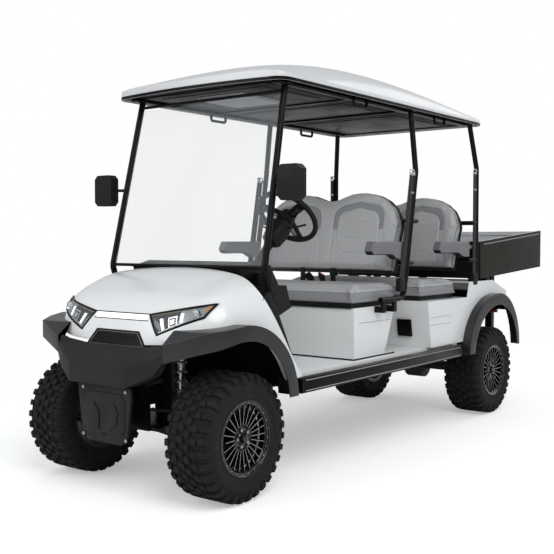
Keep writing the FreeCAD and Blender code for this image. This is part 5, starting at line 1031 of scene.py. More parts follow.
def insideLine(flat, line):
    odd = False
    for a, b in zip(line, line[1:] + line[:1]):
        if (a.y > flat.y) != (b.y > flat.y) and flat.x < (b.x - a.x) * (flat.y - a.y) / (b.y - a.y) + a.x:
            odd = not odd
    return odd


def heightOn(line, across):
    for (ya, va), (yb, vb) in zip(line, line[1:]):
        if across <= yb:
            return va + (vb - va) * (across - ya) / (yb - ya)
    return line[-1][1]


def backrest(values, node):
    lean = math.radians(values["lean"])
    up = Vector((-math.sin(lean), 0, math.cos(lean)))
    out = Vector((math.cos(lean), 0, math.sin(lean)))
    foot = Vector((behind(values[node]), 0, values["foot"]))
    shell = values["shellDepth"]

    def flatOf(place):
        return Vector((place.y, (place - foot).dot(up)))

    def depthOf(place):
        return -(place - foot).dot(out)

    def reshape(raw):
        # draws the top edge to the two-humped line, stretching only the upper part
        still = values["still"]
        tops = {}
        for vert in raw.vertices:
            flat = flatOf(vert.co)
            key = round(flat.x / values["slice"])
            tops[key] = max(tops.get(key, still), flat.y)
        for vert in raw.vertices:
            flat = flatOf(vert.co)
            if flat.y > still:
                old = max(tops[round(flat.x / values["slice"])] - still, 0.02)
                share = (heightOn(values["topLine"], abs(flat.x)) - still) / old
                vert.co += up * ((flat.y - still) * (min(share, 1.3) - 1))
        raw.update()

    mesh = padMesh(node, lambda place: depthOf(place) > shell + values["sideDepth"], values["cap"],
                   values["rounds"], padSettings, reshape)
    lines, bands = [], {}
    for side in leftAndRight:
        centre = side * values["seat"]
        bands[side] = [archLine(centre, values[name], values) for name in ("outerArch", "innerArch")]
        lines += bands[side]
        for level in values["chevrons"]:
            lines.append([Vector((centre + y, level + z)) for y, z in values["chevron"]])
        lines.append([Vector((side * y, z)) for y, z in values["middleSeam"]])

    def inBand(flat):
        # between the outer and the inner arch of either seat
        if (flat.y > values["bandTop"]
                or abs(abs(flat.x) - values["seat"]) > values["outerArch"][0] + values["bandReach"]):
            return False
        outer, inner = bands[1 if flat.x > 0 else -1]
        return insideLine(flat, outer) and not insideLine(flat, inner)

    def recess(flat):
        return values["sunk"] if inBand(flat) and flat.y > values["sunkFrom"] else 0.0

    seamed(mesh, flatOf, lines, lambda place, normal: normal.dot(out) > values["seamFacing"],
           padSettings, recess)

    def finishOf(place, normal):
        depth, flat = depthOf(place), flatOf(place)
        if depth > shell or flat.y < values["footTrim"]:
            return dashAbs
        # side walls, and the sunk band above shadedFrom, take the darker vinyl as painted shade
        sideWall = normal.dot(out) < values["sideFacing"] and depth > values["sideDepth"]
        return shadedVinyl if sideWall or (inBand(flat) and flat.y > values["shadedFrom"]) else lightVinyl

    parts = painted(mesh, finishOf)
    for line in lines:
        path = [foot + out * 0.2 + Vector((0, p.x, 0)) + up * p.y for p in denser(line, 0.015)]
        parts.append((weltOn(mesh, path, -out, 0.0, padSettings["weltRound"] * 0.8), paleWelt))
    ways = []
    (first, sweep), steps = values["edgeSweep"], values["edgeSteps"]
    for i in range(steps + 1):
        turn = math.pi * first + math.pi * sweep * i / steps
        level = Vector((0, values["edgeStretch"] * math.cos(turn), 0))
        ways.append((level + up * math.sin(turn)).normalized())
    tree = bvhOf(mesh)
    for depth, material in ((shell, blackPowderCoat), (values["edgeWelt"], paleWelt)):
        ring = skinRing(tree, foot + up * values["edgeCentre"] - out * depth, ways, 0.9,
                        lambda normal: normal * 0.0004)
        parts.append((tubeMesh(ring, values["edgeRound"], 8), material))
    finish(node, parts)


# small and tight: eased only, not blown up
armSettings = {**padSettings, "voxel": 0.006, "tuck": 0.001, "held": 0.012, "rounds": 3, "fill": 0.9}


def armrests(values):
    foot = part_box("armrests")[0][2] + values["held"]
    mesh = padMesh("armrests", lambda place: place.z < foot, 0, values["rounds"], values)
    parts = painted(mesh, lambda place, normal: dashAbs if normal.z < -0.55 else armVinyl)
    finish("armrests", parts)


cushion(benchSettings, "front_cushion")
cushion(benchSettings, "rear_cushion")
backrest(backSettings, "front_backrest")
backrest(backSettings, "rear_backrest")
armrests(armSettings)
print("seats padded")

# nose: lamps, light strip and plate, laid on the CAD skin
def skinOf(*nodes):
    points, faces = [], []
    for node in nodes:
        mesh = frame["nodes"][node].data
        start = len(points)
        points += [v.co.copy() for v in mesh.vertices]
        faces += [tuple(start + i for i in face.vertices) for face in mesh.polygons]
    return BVHTree.FromPolygons(points, faces)


noseSkin = skinOf("headlamps", "front_body", "light_bar", "badge_plate")


def noseX(y, z):
    hit, _, _, _ = noseSkin.ray_cast(Vector((4, y, z)), Vector((-1, 0, 0)))
    return hit.x if hit is not None else behind(0)


def patchMesh(outline, lift, thick, cell=0.008):
    # a convex outline of (y, z) points, gridded, laid on the nose and given a thickness
    ys, zs = zip(*outline)
    lowY, lowZ, wide, tall = min(ys), min(zs), max(ys) - min(ys), max(zs) - min(zs)
    rows = max(1, round(wide / cell))
    columns = max(1, round(tall / cell))
    points = [(0, lowY + wide * i / rows, lowZ + tall * j / columns)
              for i in range(rows + 1) for j in range(columns + 1)]
    bm = bmesh.new()
    grid = [bm.verts.new(point) for point in points]
    for face in ringFaces(rows + 1, columns + 1, closedColumns=False):
        bm.faces.new([grid[i] for i in face])
    middle = Vector((0, sum(ys) / len(ys), sum(zs) / len(zs)))
    for (ya, za), (yb, zb) in zip(outline, outline[1:] + outline[:1]):
        start = Vector((0, ya, za))
        away = Vector((0, yb - ya, zb - za)).cross(Vector((1, 0, 0))).normalized()
        if (middle - start).dot(away) > 0:
            away = -away
        bmesh.ops.bisect_plane(bm, geom=everything(bm), dist=1e-7, plane_co=start, plane_no=away,
                               clear_outer=True)
    for vert in bm.verts:
        vert.co.x = noseX(vert.co.y, vert.co.z) + lift
    rims = [edge for edge in bm.edges if edge.is_boundary]
    back = bmesh.ops.duplicate(bm, geom=everything(bm))
    twinOf = back["vert_map"]
    for edge in rims:
        a, b = edge.verts
        bm.faces.new((a, b, twinOf[b], twinOf[a]))
    for part in back["geom"]:
        if isinstance(part, bmesh.types.BMVert):
            part.co.x -= thick
    bmesh.ops.recalc_face_normals(bm, faces=bm.faces)
    mesh = bpy.data.meshes.new("patch")
    bm.to_mesh(mesh)
    bm.free()
    return shadeSmooth(mesh, 30)


def edgeLine(outline, lift, step=0.006):
    spots = []
    for (ya, za), (yb, zb) in zip(outline, outline[1:] + outline[:1]):
        count = max(2, round(math.hypot(yb - ya, zb - za) / step))
        for i in range(count):
            y, z = ya + (yb - ya) * i / count, za + (zb - za) * i / count
            spots.append((noseX(y, z) + lift, y, z))
    return spots


lampSet = {
    # corners as (y, z): inner foot, outer foot, tip, inner top
    "outline": [(0.247, 0.7445), (0.4565, 0.8285), (0.4785, 0.8845), (0.180, 0.8305)],
    "floor": -0.012,
    "amberTip": [(0.4585, 0.8450), (0.4640, 0.8500), (0.4745, 0.8800), (0.4500, 0.8765), (0.4480, 0.8600)],
    "amberLine": [(0.190, 0.8235), (0.340, 0.8500), (0.340, 0.8540), (0.190, 0.8280)],
    "footLine": [(0.2530, 0.7515), (0.4530, 0.8325), (0.4510, 0.8385), (0.2500, 0.7585)],
    "tray": [(0.3480, 0.7980), (0.4500, 0.8400), (0.4560, 0.8740), (0.3450, 0.8535)],
    "innerBar": [(0.2440, 0.8150), (0.2570, 0.8175), (0.2800, 0.7700), (0.2700, 0.7660)],
    "outerBar": [(0.3510, 0.8430), (0.3630, 0.8450), (0.3700, 0.8040), (0.3600, 0.8005)],
    # bars and lines stand this far over the floor
    "raised": (0.0085, 0.008),
    "square": [(0.2900, 0.8240), (0.3360, 0.8330), (0.3470, 0.7920), (0.3060, 0.7760)],
    "dish": (0.4160, 0.8400),
    "dishRadius": 0.0225,
    # dish section as (depth, radius share)
    "dishSection": [(-0.0035, 1), (-0.0065, 0.93), (-0.0085, 0.70), (-0.0095, 0.40), (-0.0080, 0.36),
                    (-0.0055, 0.30), (-0.0045, 0.0), (-0.0120, 0.0)],
    "dishRim": 0.0030,
    "ribs": 6,
    # ribs: start and pitch across, level and drop of top and foot, and the other corners across
    "ribStart": (0.205, 0.0075),
    "ribLevels": ((0.8130, 0.0040), (0.7850, 0.0055)),
    "ribAcross": (0.0022, 0.0160, 0.0138),
}


def shrunk(outline, share):
    ys, zs = zip(*outline)
    y0, z0 = sum(ys) / len(ys), sum(zs) / len(zs)
    return [(y0 + (y - y0) * share, z0 + (z - z0) * share) for y, z in outline]


def lampParts(values):
    floor = values["floor"]
    rise, thick = values["raised"]
    parts = [(patchMesh(values["outline"], floor, 0.006), glossBlack),
             (tubeMesh(edgeLine(values["outline"], -0.0030), 0.0052, 8, True), glossBlack),
             (patchMesh(values["tray"], floor + 0.0035, 0.004), silverPaintAndCreaseShade)]
    for name, material in (("amberTip", amberPlastic), ("amberLine", smokedAmber), ("footLine", silverPaintAndCreaseShade),
                           ("innerBar", opalDiffuser), ("outerBar", opalDiffuser)):
        parts.append((patchMesh(values[name], floor + rise, thick), material))
    square = values["square"]
    for outline, rise, material in ((square, 0.0070, brightChrome),
                                    (shrunk(square, 0.72), 0.0075, glossBlack),
                                    (shrunk(square, 0.45), 0.0090, brightChrome)):
        parts.append((patchMesh(outline, floor + rise, 0.006), material))
    (start, pitch), (second, third, fourth) = values["ribStart"], values["ribAcross"]
    for i in range(values["ribs"]):
        y = start + pitch * i
        top, foot = (level - drop * i for level, drop in values["ribLevels"])
        rib = [(y, top), (y + second, top), (y + third, foot), (y + fourth, foot)]
        parts.append((patchMesh(rib, floor + 0.0030, 0.004), silverPaintAndCreaseShade))
    y, z = values["dish"]
    radius = values["dishRadius"]
    rim = radius + values["dishRim"]
    section = [(depth, radius * share) for depth, share in values["dishSection"]]
    dish = [(section[0][0], rim)] + section + [(section[-1][0], rim)]
    parts.append((turnedMesh(dish, (noseX(y, z), y, z), 40, "X", False), brightChrome))
    parts.append((patchMesh(values["outline"], -0.0006, 0.0014), lampCover))
    return parts


finish("headlamps", withMirror(lampParts(lampSet)))

stripSet = {
    # half width, foot and top of the dark edges over and under the light strip
    "above": (0.181, 0.8305, 0.8350),
    "below": (0.180, 0.8020, 0.8055),
    "plate": [(-0.194, 0.6815), (0.194, 0.6815), (0.137, 0.7525), (-0.137, 0.7525)],
    "panel": [(-0.178, 0.6880), (0.178, 0.6880), (0.130, 0.7465), (-0.130, 0.7465)],
}


def stripEdge(half, low, high):
    corners = [(-half, low), (half, low), (half, high), (-half, high)]
    return patchMesh(corners, 0.0006, 0.003, 0.02), glossBlack


dress("light_bar", opalDiffuser, 0.003, 3, 30, [stripEdge(*stripSet["above"]), stripEdge(*stripSet["below"])])
dress("badge_plate", glossBlack, 0.004, 3, 24,
      [(tubeMesh(edgeLine(stripSet["plate"], -0.0006, 0.01), 0.0030, 8, True), glossBlack),
       (tubeMesh(edgeLine(stripSet["panel"], -0.0008, 0.01), 0.0014, 8, True), silverPaintAndCreaseShade)])
print("nose finished")


def seenInside(mesh):
    # faces that look onto the same shell: the inside of a moulding
    tree = bvhOf(mesh)
    reach = 1.2
    return {face.index for face in mesh.polygons
            if tree.ray_cast(face.center + face.normal * 0.003, face.normal, reach)[0] is not None}


archSet = {"underLevel": 0.76, "downwards": -0.25, "radius": 0.46, "half": 0.535, "towards": -0.5}


def archLiningAndShade(axleX, values):
    # seen from inside the shell, turned downwards under the body as painted shade, or turned to the wheel
    # within its arch
    def chosen(mesh):
        inside = seenInside(mesh)
        for face in mesh.polygons:
            away = Vector((face.center.x - axleX, 0, face.center.z - wheelHeight))
            under = face.normal.z < values["downwards"] and face.center.z < values["underLevel"]
            inArch = away.length < values["radius"] and abs(face.center.y) < values["half"]
            if under or (inArch and away.normalized().dot(face.normal) < values["towards"]):
                inside.add(face.index)
        return inside
    return chosen


def dressTwoTone(node, outerFinish, innerFinish, innerFaces, bevel, segments, angle, extra=()):
    # the CAD shape with eased edges, its inner faces in a finish of their own
    mesh = cadMesh(node, bevel, segments, angle)
    inner = innerFaces(mesh)
    outer = {face.index for face in mesh.polygons} - inner
    finish(node, [(onlyFaces(mesh, outer), outerFinish), (onlyFaces(mesh, inner), innerFinish)] + list(extra))


# body mouldings: white outside, black arch lining inside, and black painted shade on their faces turned
# downwards
boxSet = {
    "floor": 0.5205,
    "strip": 0.008,
    "proud": 0.0015,
    # pressed lines on the sides, drawn as thin grey strips of painted crease shade, and how far they stop
    # short of the ends
    "seatLine": {"level": 0.716, "tall": 0.0025, "half": 0.5003, "ends": (0.05, 0.05)},
    "rearLine": {"levels": (0.700, 0.655), "tall": 0.0018, "half": 0.5603, "ends": (0, 0.03)},
    "rearReach": 0.30,
    "lineThick": 0.0006,
}


def sideLines(start, end, values, level):
    # a pressed line on each side, between the two places along: a thin grey strip of painted crease shade
    thick, low, high = boxSet["lineThick"], start + values["ends"][0], end - values["ends"][1]
    return [block((low, side * values["half"] - thick, level),
                  (high, side * values["half"] + thick, level + values["tall"]), silverPaintAndCreaseShade, 0)
            for side in leftAndRight]


def footStrip(values, low, high):
    # thin dark gasket round the foot of a box, on three sides
    out, sunk = values["proud"], 0.001
    z0, z1 = values["floor"], values["floor"] + values["strip"]
    sides = [((low[0] - out, low[1] - out, z0), (high[0] + out, low[1] + sunk, z1)),
             ((low[0] - out, high[1] - sunk, z0), (high[0] + out, high[1] + out, z1)),
             ((high[0] - sunk, low[1], z0), (high[0] + out, high[1], z1))]
    return [block(a, b, blackPowderCoat, 0.0004, 1) for a, b in sides]


dressTwoTone("front_body", whiteGelcoat, archFeltAndShade, archLiningAndShade(frontAxle, archSet), 0.005, 3, 24)
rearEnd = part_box("rear_body")[1][0]
rearLines = []
for level in boxSet["rearLine"]["levels"]:
    rearLines += sideLines(rearEnd - boxSet["rearReach"], rearEnd, boxSet["rearLine"], level)
dressTwoTone("rear_body", whiteGelcoat, archFeltAndShade, archLiningAndShade(rearAxle, archSet), 0.006, 3, 30, rearLines)
seatLow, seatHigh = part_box("front_seat_box")
seatLines = sideLines(seatLow[0], seatHigh[0], boxSet["seatLine"], boxSet["seatLine"]["level"])
dressTwoTone("front_seat_box", whiteGelcoat, archFeltAndShade, seenInside, 0.006, 3, 30,
             footStrip(boxSet, seatLow, seatHigh) + seatLines)

# load bed: bronze outside, pale liner inside, a satin strip under each rim, pressed ribs on the gate in grey
# as painted shade
bedSet = {
    "ends": (0.030, 0.060),
    "stripDrop": 0.022,
    "strip": (0.0065, 0.0014),
    "ribs": 5,
    "ribFoot": 0.050,
    "ribTop": 0.030,
    "ribSide": 0.045,
    "ribWidth": 0.007,
    "ribProud": 0.0016,
}
tubLow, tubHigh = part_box("bed_tub")
tubSkin = skinOf("bed_tub")


def bedInside(mesh):
    middle = (Vector(tubLow) + Vector(tubHigh)) / 2
    chosen = set()
    for face in mesh.polygons:
        inward = Vector((middle.x - face.center.x, middle.y - face.center.y, 0)).dot(face.normal) > 0.02
        if (inward or face.normal.z > 0.5) and tubLow[2] + 0.01 < face.center.z < tubHigh[2] - 0.006:
            chosen.add(face.index)
    return chosen


def rimHeight(x):
    # the bed sits tail-up, so its rim is read off the CAD side wall
    hit = tubSkin.ray_cast(Vector((x, tubHigh[1] - 0.003, 3)), Vector((0, 0, -1)))[0]
    return hit.z if hit is not None else tubHigh[2]


def rimStrips(values):
    ends = (tubLow[0] + values["ends"][0], tubHigh[0] - values["ends"][1])
    strips = []
    for side in leftAndRight:
        line = [Vector((x, side * (tubHigh[1] + 0.0004), rimHeight(x) - values["stripDrop"])) for x in ends]
        strips.append((tubeMesh(line, 0, flatten=(*values["strip"], (0, 1, 0))), satinAluminium))
    return strips


def gateInside(mesh):
    return {face.index for face in mesh.polygons if face.normal.x > 0.9}


def gateRibs(values):
    # pressed ribs across the inner face, found by a ray from inside the bed; their grey is painted shade
    low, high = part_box("tailgate")
    skin = skinOf("tailgate")
    half, start, end = values["ribWidth"] / 2, low[2] + values["ribFoot"], high[2] - values["ribTop"]
    ribs = []
    for i in range(values["ribs"]):
        z = start + (end - start) * i / (values["ribs"] - 1)
        x = skin.ray_cast(Vector((high[0] + 0.1, 0, z)), Vector((-1, 0, 0)))[0].x
        near = (x - 0.001, low[1] + values["ribSide"], z - half)
        far = (x + values["ribProud"], high[1] - values["ribSide"], z + half)
        ribs.append(block(near, far, silverPaintAndCreaseShade, 0.0006))
    return ribs


dressTwoTone("bed_tub", bronzeCoat, bedLiner, bedInside, 0.004, 3, 24, rimStrips(bedSet))
dressTwoTone("tailgate", bronzeCoat, bedLiner, gateInside, 0.003, 2, 24, gateRibs(bedSet))

# roof: pale shell, black gasket along its lower edge, formed headliner
roofSet = {
    "gasketUp": 0.008,
    "gasket": (0.0032, 0.0150),
    "gasketProud": 0.0008,
    "steps": 320,
    "stretch": 2.2,
    "level": 1.9206,
    "consoleBelow": 0.004,
    # trays: front and rear setback, then their drop, half width and the frame left round their middles
    "trays": [(0.36, 0.98), (1.06, 1.52), (1.66, 2.34)],
    "drop": 0.007,
    "half": 0.41,
    "frame": (0.06, 0.07),
    "rail": {"setbacks": (0.34, 2.36), "aside": 0.475, "half": 0.022, "drop": 0.016},
    "bow": {"setbacks": (1.02, 1.59, 2.37), "half": 0.018, "reach": 0.50, "drop": 0.012},
}


def roofGasket(values):
    low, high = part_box("roof")
    middle = Vector(((low[0] + high[0]) / 2, 0, low[2] + values["gasketUp"]))
    ring = skinRing(skinOf("roof"), middle, levelWays(values["steps"], values["stretch"], 1), 2.5,
                    lambda normal: Vector((normal.x, normal.y, 0)).normalized() * values["gasketProud"])
    return tubeMesh(ring, 0, closed=True, flatten=(*values["gasket"], (0, 0, 1))), glossBlack


def linerParts(values):
    parts = []
    under, rail, bow = values["level"], values["rail"], values["bow"]
    aside, along = values["frame"][1], values["frame"][0]
    for start, end in values["trays"]:
        low = (behind(end), -values["half"], under - values["drop"])
        high = (behind(start), values["half"], under + 0.002)
        # a sunk middle reads as a darker frame round a lighter tray
        parts += [block(low, high, headliner, 0.005, 3),
                  block((low[0] + along, low[1] + aside, low[2] - 0.0035),
                        (high[0] - along, high[1] - aside, low[2] + 0.001), linerTray, 0.003)]
    front, rear = rail["setbacks"]
    for side in leftAndRight:
        y = side * rail["aside"]
        parts.append(block((behind(rear), y - rail["half"], under - rail["drop"]),
                           (behind(front), y + rail["half"], under + 0.001), blackPowderCoat, 0.007, 3))
    for setback in bow["setbacks"]:
        near = (behind(setback + bow["half"]), -bow["reach"], under - bow["drop"])
        far = (behind(setback - bow["half"]), bow["reach"], under + 0.001)
        parts.append(block(near, far, blackPowderCoat, 0.005))
    return parts


def consoleFaces(mesh):
    level = roofSet["level"] - roofSet["consoleBelow"]
    return {face.index for face in mesh.polygons if face.center.z < level}


dress("roof", roofGelcoat, 0.004, 2, 24, [roofGasket(roofSet)])
dressTwoTone("roof_liner", headliner, consoleGrey, consoleFaces, 0.006, 3, 30, linerParts(roofSet))
print("body, bed and roof finished")

# belts: webbing beside the posts, chrome loops above and retractors below, buckles between the seats
beltSet = {
    # each strap as (setback, across, level) from its loop to the floor
    "middle": [(1.560, 0.549, 1.545), (1.468, 0.549, 1.060), (1.440, 0.549, 0.930)],
    "rear": [(2.400, 0.547, 1.600), (2.400, 0.547, 1.200), (2.400, 0.547, 0.930)],
    "aside": 0.034,
    "proud": 0.0070,
    "width": 0.050,
    "thick": 0.004,
    "loop": [(-0.026, -0.004), (-0.026, 0.022), (0.026, 0.022), (0.026, -0.004)],
    # blocks about the strap's top: low corner, high corner, finish
    "topBlocks": [((-0.030, -0.004, -0.010), (0.028, 0.004, 0.004), brightChrome),
                  ((-0.025, -0.0045, -0.115), (0.022, 0.0045, -0.103), satinAluminium)],
    # the reel's housing about the strap's foot: low corner, high corner
    "retractor": ((-0.034, -0.022, -0.055), (0.028, 0.010, 0.020)),
    "bolt": [(0.0, 0.0), (0.0, 0.0095), (0.005, 0.0095), (0.0065, 0.0080), (0.0065, 0.0)],
    "boltPlace": (0, 0.004, 0.012),
    "loopBend": 0.012,
    "loopRound": 0.0035,
    # stitched line down the strap: width, thickness and how far it stands out
    "stitch": (0.010, 0.0012),
    "stitchOut": 0.0026,
    # the CAD buckles lie below this level
    "bucklesBelow": 1.2,
    # heads in the crease between cushion and back: setback, across, turned outwards (degrees)
    "heads": [(1.352, 0.052, 26), (1.352, -0.012, -22), (2.112, 0.052, 26), (2.112, -0.012, -22)],
    "headFoot": 0.918,
    "headTall": 0.068,
    "headWide": 0.046,
    "headDeep": 0.015,
    "headLean": 38,
}


def beltParts(values):
    parts = []
    for name in ("middle", "rear"):
        line = [Vector((behind(setback) + values["aside"], y + values["proud"], z))
                for setback, y, z in values[name]]
        path = denser(line, 0.05)
        strap = tubeMesh(path, 0, flatten=(values["width"], values["thick"], (0, 1, 0)))
        stitched = tubeMesh([p + Vector((0, values["stitchOut"], 0)) for p in path], 0,
                            flatten=(*values["stitch"], (0, 1, 0)))
        top, foot = line[0], line[-1]
        loop = smoothPath([(top.x + x, top.y, top.z + z) for x, z in values["loop"]], values["loopBend"], 5)
        parts += [(strap, webbing), (stitched, paintedCasting),
                  (tubeMesh(loop, values["loopRound"], 10), brightChrome)]
        for low, high, material in values["topBlocks"]:
            parts.append(block(top + Vector(low), top + Vector(high), material))
        low, high = values["retractor"]
        parts.append(block(foot + Vector(low), foot + Vector(high), dashAbs, 0.008, 3))
        boltPlace = top + Vector(values["boltPlace"])
        parts.append((turnedMesh(values["bolt"], boltPlace, 16, "Y", False), zincSteel))
    return withMirror(parts)


def bucklesOnly(values):
    # the buckles keep their CAD shapes; the loops and straps on the posts are made above
    mesh = cadMesh("seat_belts", 0.0015)
    with editing(mesh) as bm:
        bmesh.ops.delete(bm, geom=[v for v in bm.verts if v.co.z > values["bucklesBelow"]], context="VERTS")
    return mesh


def buckleHeads(values):
    half, deep, tall = values["headWide"] / 2, values["headDeep"] / 2, values["headTall"]
    thin, slim = deep * 0.45, half * 0.7
    short, narrow = deep * 0.5, half * 0.55
    blocks = [block((-deep, -half, 0.018), (deep, half, tall), dashAbs, 0.005, 3),
              block((-thin, -slim, -0.030), (thin, slim, 0.020), webbing, 0.003),
              block((-short, -narrow, tall - 0.004), (short, narrow, tall + 0.0015), redPlastic, 0.001)]
    parts = []
    for setback, y, turn in values["heads"]:
        spot = (Matrix.Translation((behind(setback), y, values["headFoot"]))
                @ Matrix.Rotation(math.radians(-turn), 4, "X")
                @ Matrix.Rotation(math.radians(values["headLean"]), 4, "Y"))
        parts += [(movedMesh(mesh, spot), material) for mesh, material in blocks]
    return parts


finish("seat_belts", [(bucklesOnly(beltSet), dashAbs)] + buckleHeads(beltSet) + beltParts(beltSet))

# steering wheel: satin inlays on the spokes and a horn pad; its shroud stays on the column
wheelSet = {
    "centre": (0.695, 0.285, 1.285),
    "axis": (0.7314, 0, -0.682),
    "up": (0.682, 0, 0.7314),
    "spokes": (180, 62, -62),
    "inlay": (0.052, 0.118),
    "inlayWide": 0.017,
    "lift": 0.0105,
    # horn pad: half height, half width, how far behind the centre, thickness
    "pad": (0.034, 0.046, 0.016, 0.010),
    # shroud sections: along the column, half width, half height
    "shroud": ((0.052, 0.036, 0.034), (0.060, 0.050, 0.046), (0.120, 0.056, 0.052), (0.185, 0.046, 0.044),
               (0.200, 0.030, 0.030)),
    "shroudSquareness": 0.55,
    # levers on both sides: root along the column, then (out to the side, back along the axis)
    "leverRoot": 0.085,
    "lever": ((0.045, 0), (0.095, 0.004), (0.150, 0.022)),
    "leverRadius": 0.0052,
}
wheelCentre = Vector((behind(wheelSet["centre"][0]), *wheelSet["centre"][1:]))
wheelAxis = Vector(wheelSet["axis"]).normalized()
wheelUp = Vector(wheelSet["up"]).normalized()
across = Vector((0, 1, 0))


def wheelParts(values):
    parts = []
    near, far = values["inlay"]
    for turn in values["spokes"]:
        way = wheelUp * math.cos(math.radians(turn)) + across * math.sin(math.radians(turn))
        for face in (1, -1):
            start = wheelCentre + wheelAxis * values["lift"] * face
            path = [start + way * near, start + way * far]
            flat = (values["inlayWide"], 0.003, tuple(wheelAxis))
            parts.append((tubeMesh(path, 0, flatten=flat), satinAluminium))
    tall, wide, back, thick = values["pad"]
    pad = []
    for i in range(24):
        turn = 2 * math.pi * i / 24
        rise, aside = tall * math.cos(turn), wide * math.sin(turn)
        pad.append(wheelCentre - wheelAxis * back + wheelUp * rise + across * aside)
    parts.append((prismMesh(pad, -wheelAxis, thick, 0.003, 3), dashAbs))
    return parts


def roundedSquare(count, squareness):
    # points round a circle, pushed out towards its corners
    spots = []
    for i in range(count):
        c, s = math.cos(2 * math.pi * i / count), math.sin(2 * math.pi * i / count)
        stretch = 1 / max(abs(c), abs(s)) ** squareness
        spots.append((c * stretch, s * stretch))
    return spots


def shroudParts(values):
    section = roundedSquare(20, values["shroudSquareness"])
    points = [wheelCentre + wheelAxis * along + across * (wide * c) + wheelUp * (tall * s)
              for along, wide, tall in values["shroud"] for c, s in section]
    shroud = meshFrom("shroud", points, tubeFaces(len(values["shroud"]), len(section)))
    parts = [(shadeSmooth(shroud, 40), dashAbs)]
    for side in leftAndRight:
        path = [wheelCentre + wheelAxis * (values["leverRoot"] - back) + across * (side * out)
                for out, back in values["lever"]]
        parts.append((tubeMesh(smoothPath(path, 0.03, 4), values["leverRadius"], 10), dashAbs))
    return parts


dress("steering_wheel", dashAbs, 0.0, 2, 50, wheelParts(wheelSet))
dress("steering_column", blackPowderCoat, 0.0, 2, 40, shroudParts(wheelSet))

# skid plate: a raised bare panel with two pressed ribs and a bolt in each corner
skidSet = {
    "panel": [(0.118, 0.292), (0.134, 0.330), (0.136, 0.440), (0.112, 0.478)],
    "rib": [(0.030, 0.305), (0.086, 0.340), (0.092, 0.402), (0.066, 0.430), (0.030, 0.392)],
    "bolt": [(0, 0), (0, 0.0085), (0.003, 0.0085), (0.0042, 0.0070), (0.0042, 0)],
    "boltPlaces": (0.140, (0.275, 0.492)),
}


def skidParts(values):
    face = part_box("skid_plate")[1][0] - 0.0005
    outline = [(face, y, z) for y, z in values["panel"]]
    outline += [(face, -y, z) for y, z in reversed(values["panel"])]
    parts = [(prismMesh(outline, (1, 0, 0), 0.0035, 0.0015), grainedTpo)]
    boltSide, boltLevels = values["boltPlaces"]
    for side in leftAndRight:
        rib = [(face + 0.003, side * y, z) for y, z in values["rib"]]
        parts.append((prismMesh(rib, (1, 0, 0), 0.0055, 0.0022), grainedTpo))
        for z in boltLevels:
            parts.append((turnedMesh(values["bolt"], (face, side * boltSide, z), 14, "X", False), zincSteel))
    return parts


dress("skid_plate", grainedTpo, 0.0025, 2, 24, skidParts(skidSet))

# rockers: black step with a satin strip along each edge
stripInset = {"ends": 0.03, "edge": 0.012, "half": 0.002, "sunk": 0.0004, "thick": 0.0008}


def rockerStrips(values):
    low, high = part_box("rocker_panels")
    thick, half = values["thick"], values["half"]
    strips = []
    for side in leftAndRight:
        y = side * (high[1] - values["sunk"])
        for z in (high[2] - values["edge"], low[2] + values["edge"]):
            strips.append(block((low[0] + values["ends"], y - thick, z - half),
                                (high[0] - values["ends"], y + thick, z + half), satinAluminium, 0.0004, 1))
    return strips


dress("rocker_panels", blackPowderCoat, 0.004, 2, 24, rockerStrips(stripInset))


# floor: pale mat on top, black underside and toe board front
def floorUnder(mesh):
    tilt = 0.3
    return {face.index for face in mesh.polygons if face.normal.z < -tilt or face.normal.x > tilt}


dressTwoTone("floor_pan", floorVinyl, archFeltAndShade, floorUnder, 0.003, 2, 30)

# cowl strips: trimmed to the rear edge of the hood by a plane
cowlSet = {"setback": 0.175, "level": 0.905, "facing": (0.55, 0, 0.835)}
cowl = cadMesh("cowl_panels", 0.002)
with editing(cowl) as trimmed:
    bmesh.ops.bisect_plane(trimmed, geom=everything(trimmed), dist=1e-6,
                           plane_co=(behind(cowlSet["setback"]), 0, cowlSet["level"]),
                           plane_no=cowlSet["facing"], clear_outer=True)
    bmesh.ops.holes_fill(trimmed, edges=[e for e in trimmed.edges if e.is_boundary])
finish("cowl_panels", [(shadeSmooth(cowl), dashAbs)])

# tail lamps: red lens in a bright frame, and a clear strip
tailSet = {"across": (0.395, 0.490), "frame": 0.0022, "stripSide": 0.03, "strip": (0.010, 0.020)}


def tailParts(values):
    low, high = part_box("tail_lamps")
    x, z = low[0], low[2]
    parts = []
    for side in leftAndRight:
        y0, y1 = sorted(side * y for y in values["across"])
        corners = [(y0, z), (y1, z), (y1, high[2]), (y0, high[2]), (y0, z)]
        edge = denser([Vector((x + 0.003, *corner)) for corner in corners], 0.01)[:-1]
        start, end = values["strip"]
        parts += [(tubeMesh(edge, values["frame"], 8, True), brightChrome),
                  block((x - 0.0008, y0 + values["stripSide"], z + start),
                        (x + 0.002, y1 - values["stripSide"], z + end), opalDiffuser, 0.0008)]
    return parts


dress("tail_lamps", redPlastic, 0.003, 3, 30, tailParts(tailSet))

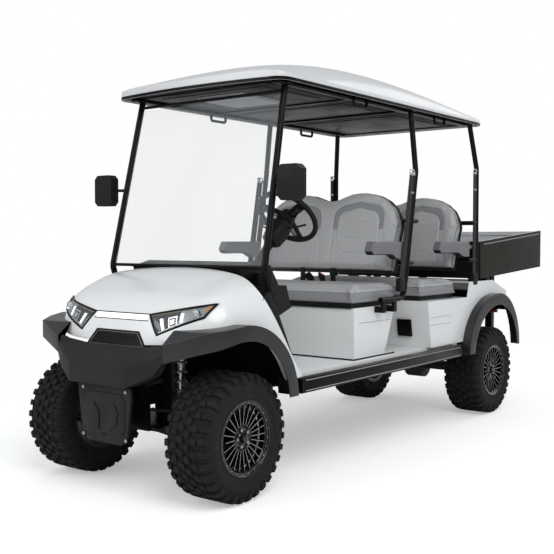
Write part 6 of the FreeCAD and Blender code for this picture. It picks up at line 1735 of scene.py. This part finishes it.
# mirrors: soft-edged shells with silvered glass set in the rear face
mirrorSet = {"across": 0.622, "level": 1.430, "half": (0.050, 0.067), "squareness": 0.75}


def mirrorParts(values):
    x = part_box("mirrors")[0][0] + 0.0012
    wide, tall = values["half"]
    parts = []
    for side in leftAndRight:
        outline = [(x, side * values["across"] + wide * c, values["level"] + tall * s)
                   for c, s in roundedSquare(28, values["squareness"])]
        parts.append((prismMesh(outline, (-1, 0, 0), 0.0020, 0.0006, 1), mirrorGlass))
    return parts


dress("mirrors", dashAbs, 0.010, 4, 24, mirrorParts(mirrorSet))
dress("windshield_glass", clearScreen, 0.001, 2, 30)
print("controls, belts and trim finished")

# structure below and around: the CAD shapes with eased edges, as finish, bevel, steps, angle and nodes
structure = [
    (grainedTpo, 0.004, 3, 16, ["front_bumper"]),
    (flareTpo, 0.004, 3, 24, ["front_flares", "rear_flares"]),
    (dashAbs, 0.006, 3, 24, ["dashboard"]),
    (dashAbs, 0.003, 2, 30, ["seat_trays"]),
    (dashAbs, 0.002, 2, 30, ["pedals"]),
    (glossBlack, 0.006, 3, 30, ["charging_socket"]),
    (blackPowderCoat, 0.002, 2, 30, ["chassis_frame", "front_subframe"]),
    (blackPowderCoat, 0.0015, 2, 30, ["bumper_mounts", "skid_struts"]),
    (blackPowderCoat, 0.0, 2, 40,
     ["windshield_frame", "middle_posts", "rear_posts", "grab_handles", "back_frames"]),
    (blackPowderCoat, 0.0015, 2, 30, ["bed_mount"]),
    (blackPowderCoat, 0.001, 2, 30, ["bed_feet"]),
    (blackPowderCoat, 0.0012, 2, 30, ["front_suspension"]),
    (paintedCasting, 0.002, 2, 30, ["knuckle_left", "knuckle_right"]),
    (blackPowderCoat, 0.001, 2, 30, ["leaf_springs"]),
    (paintedCasting, 0.001, 2, 40, ["rack_housing"]),
    (zincSteel, 0.0, 2, 40, ["coil_overs", "steering_rack"]),
    (paintedCasting, 0.002, 2, 30, ["rear_axle"]),
    (dashAbs, 0.004, 2, 30, ["battery_pack"]),
]
for material, bevel, segments, angle, nodes in structure:
    for node in nodes:
        dress(node, material, bevel, segments, angle)
print("structure dressed")
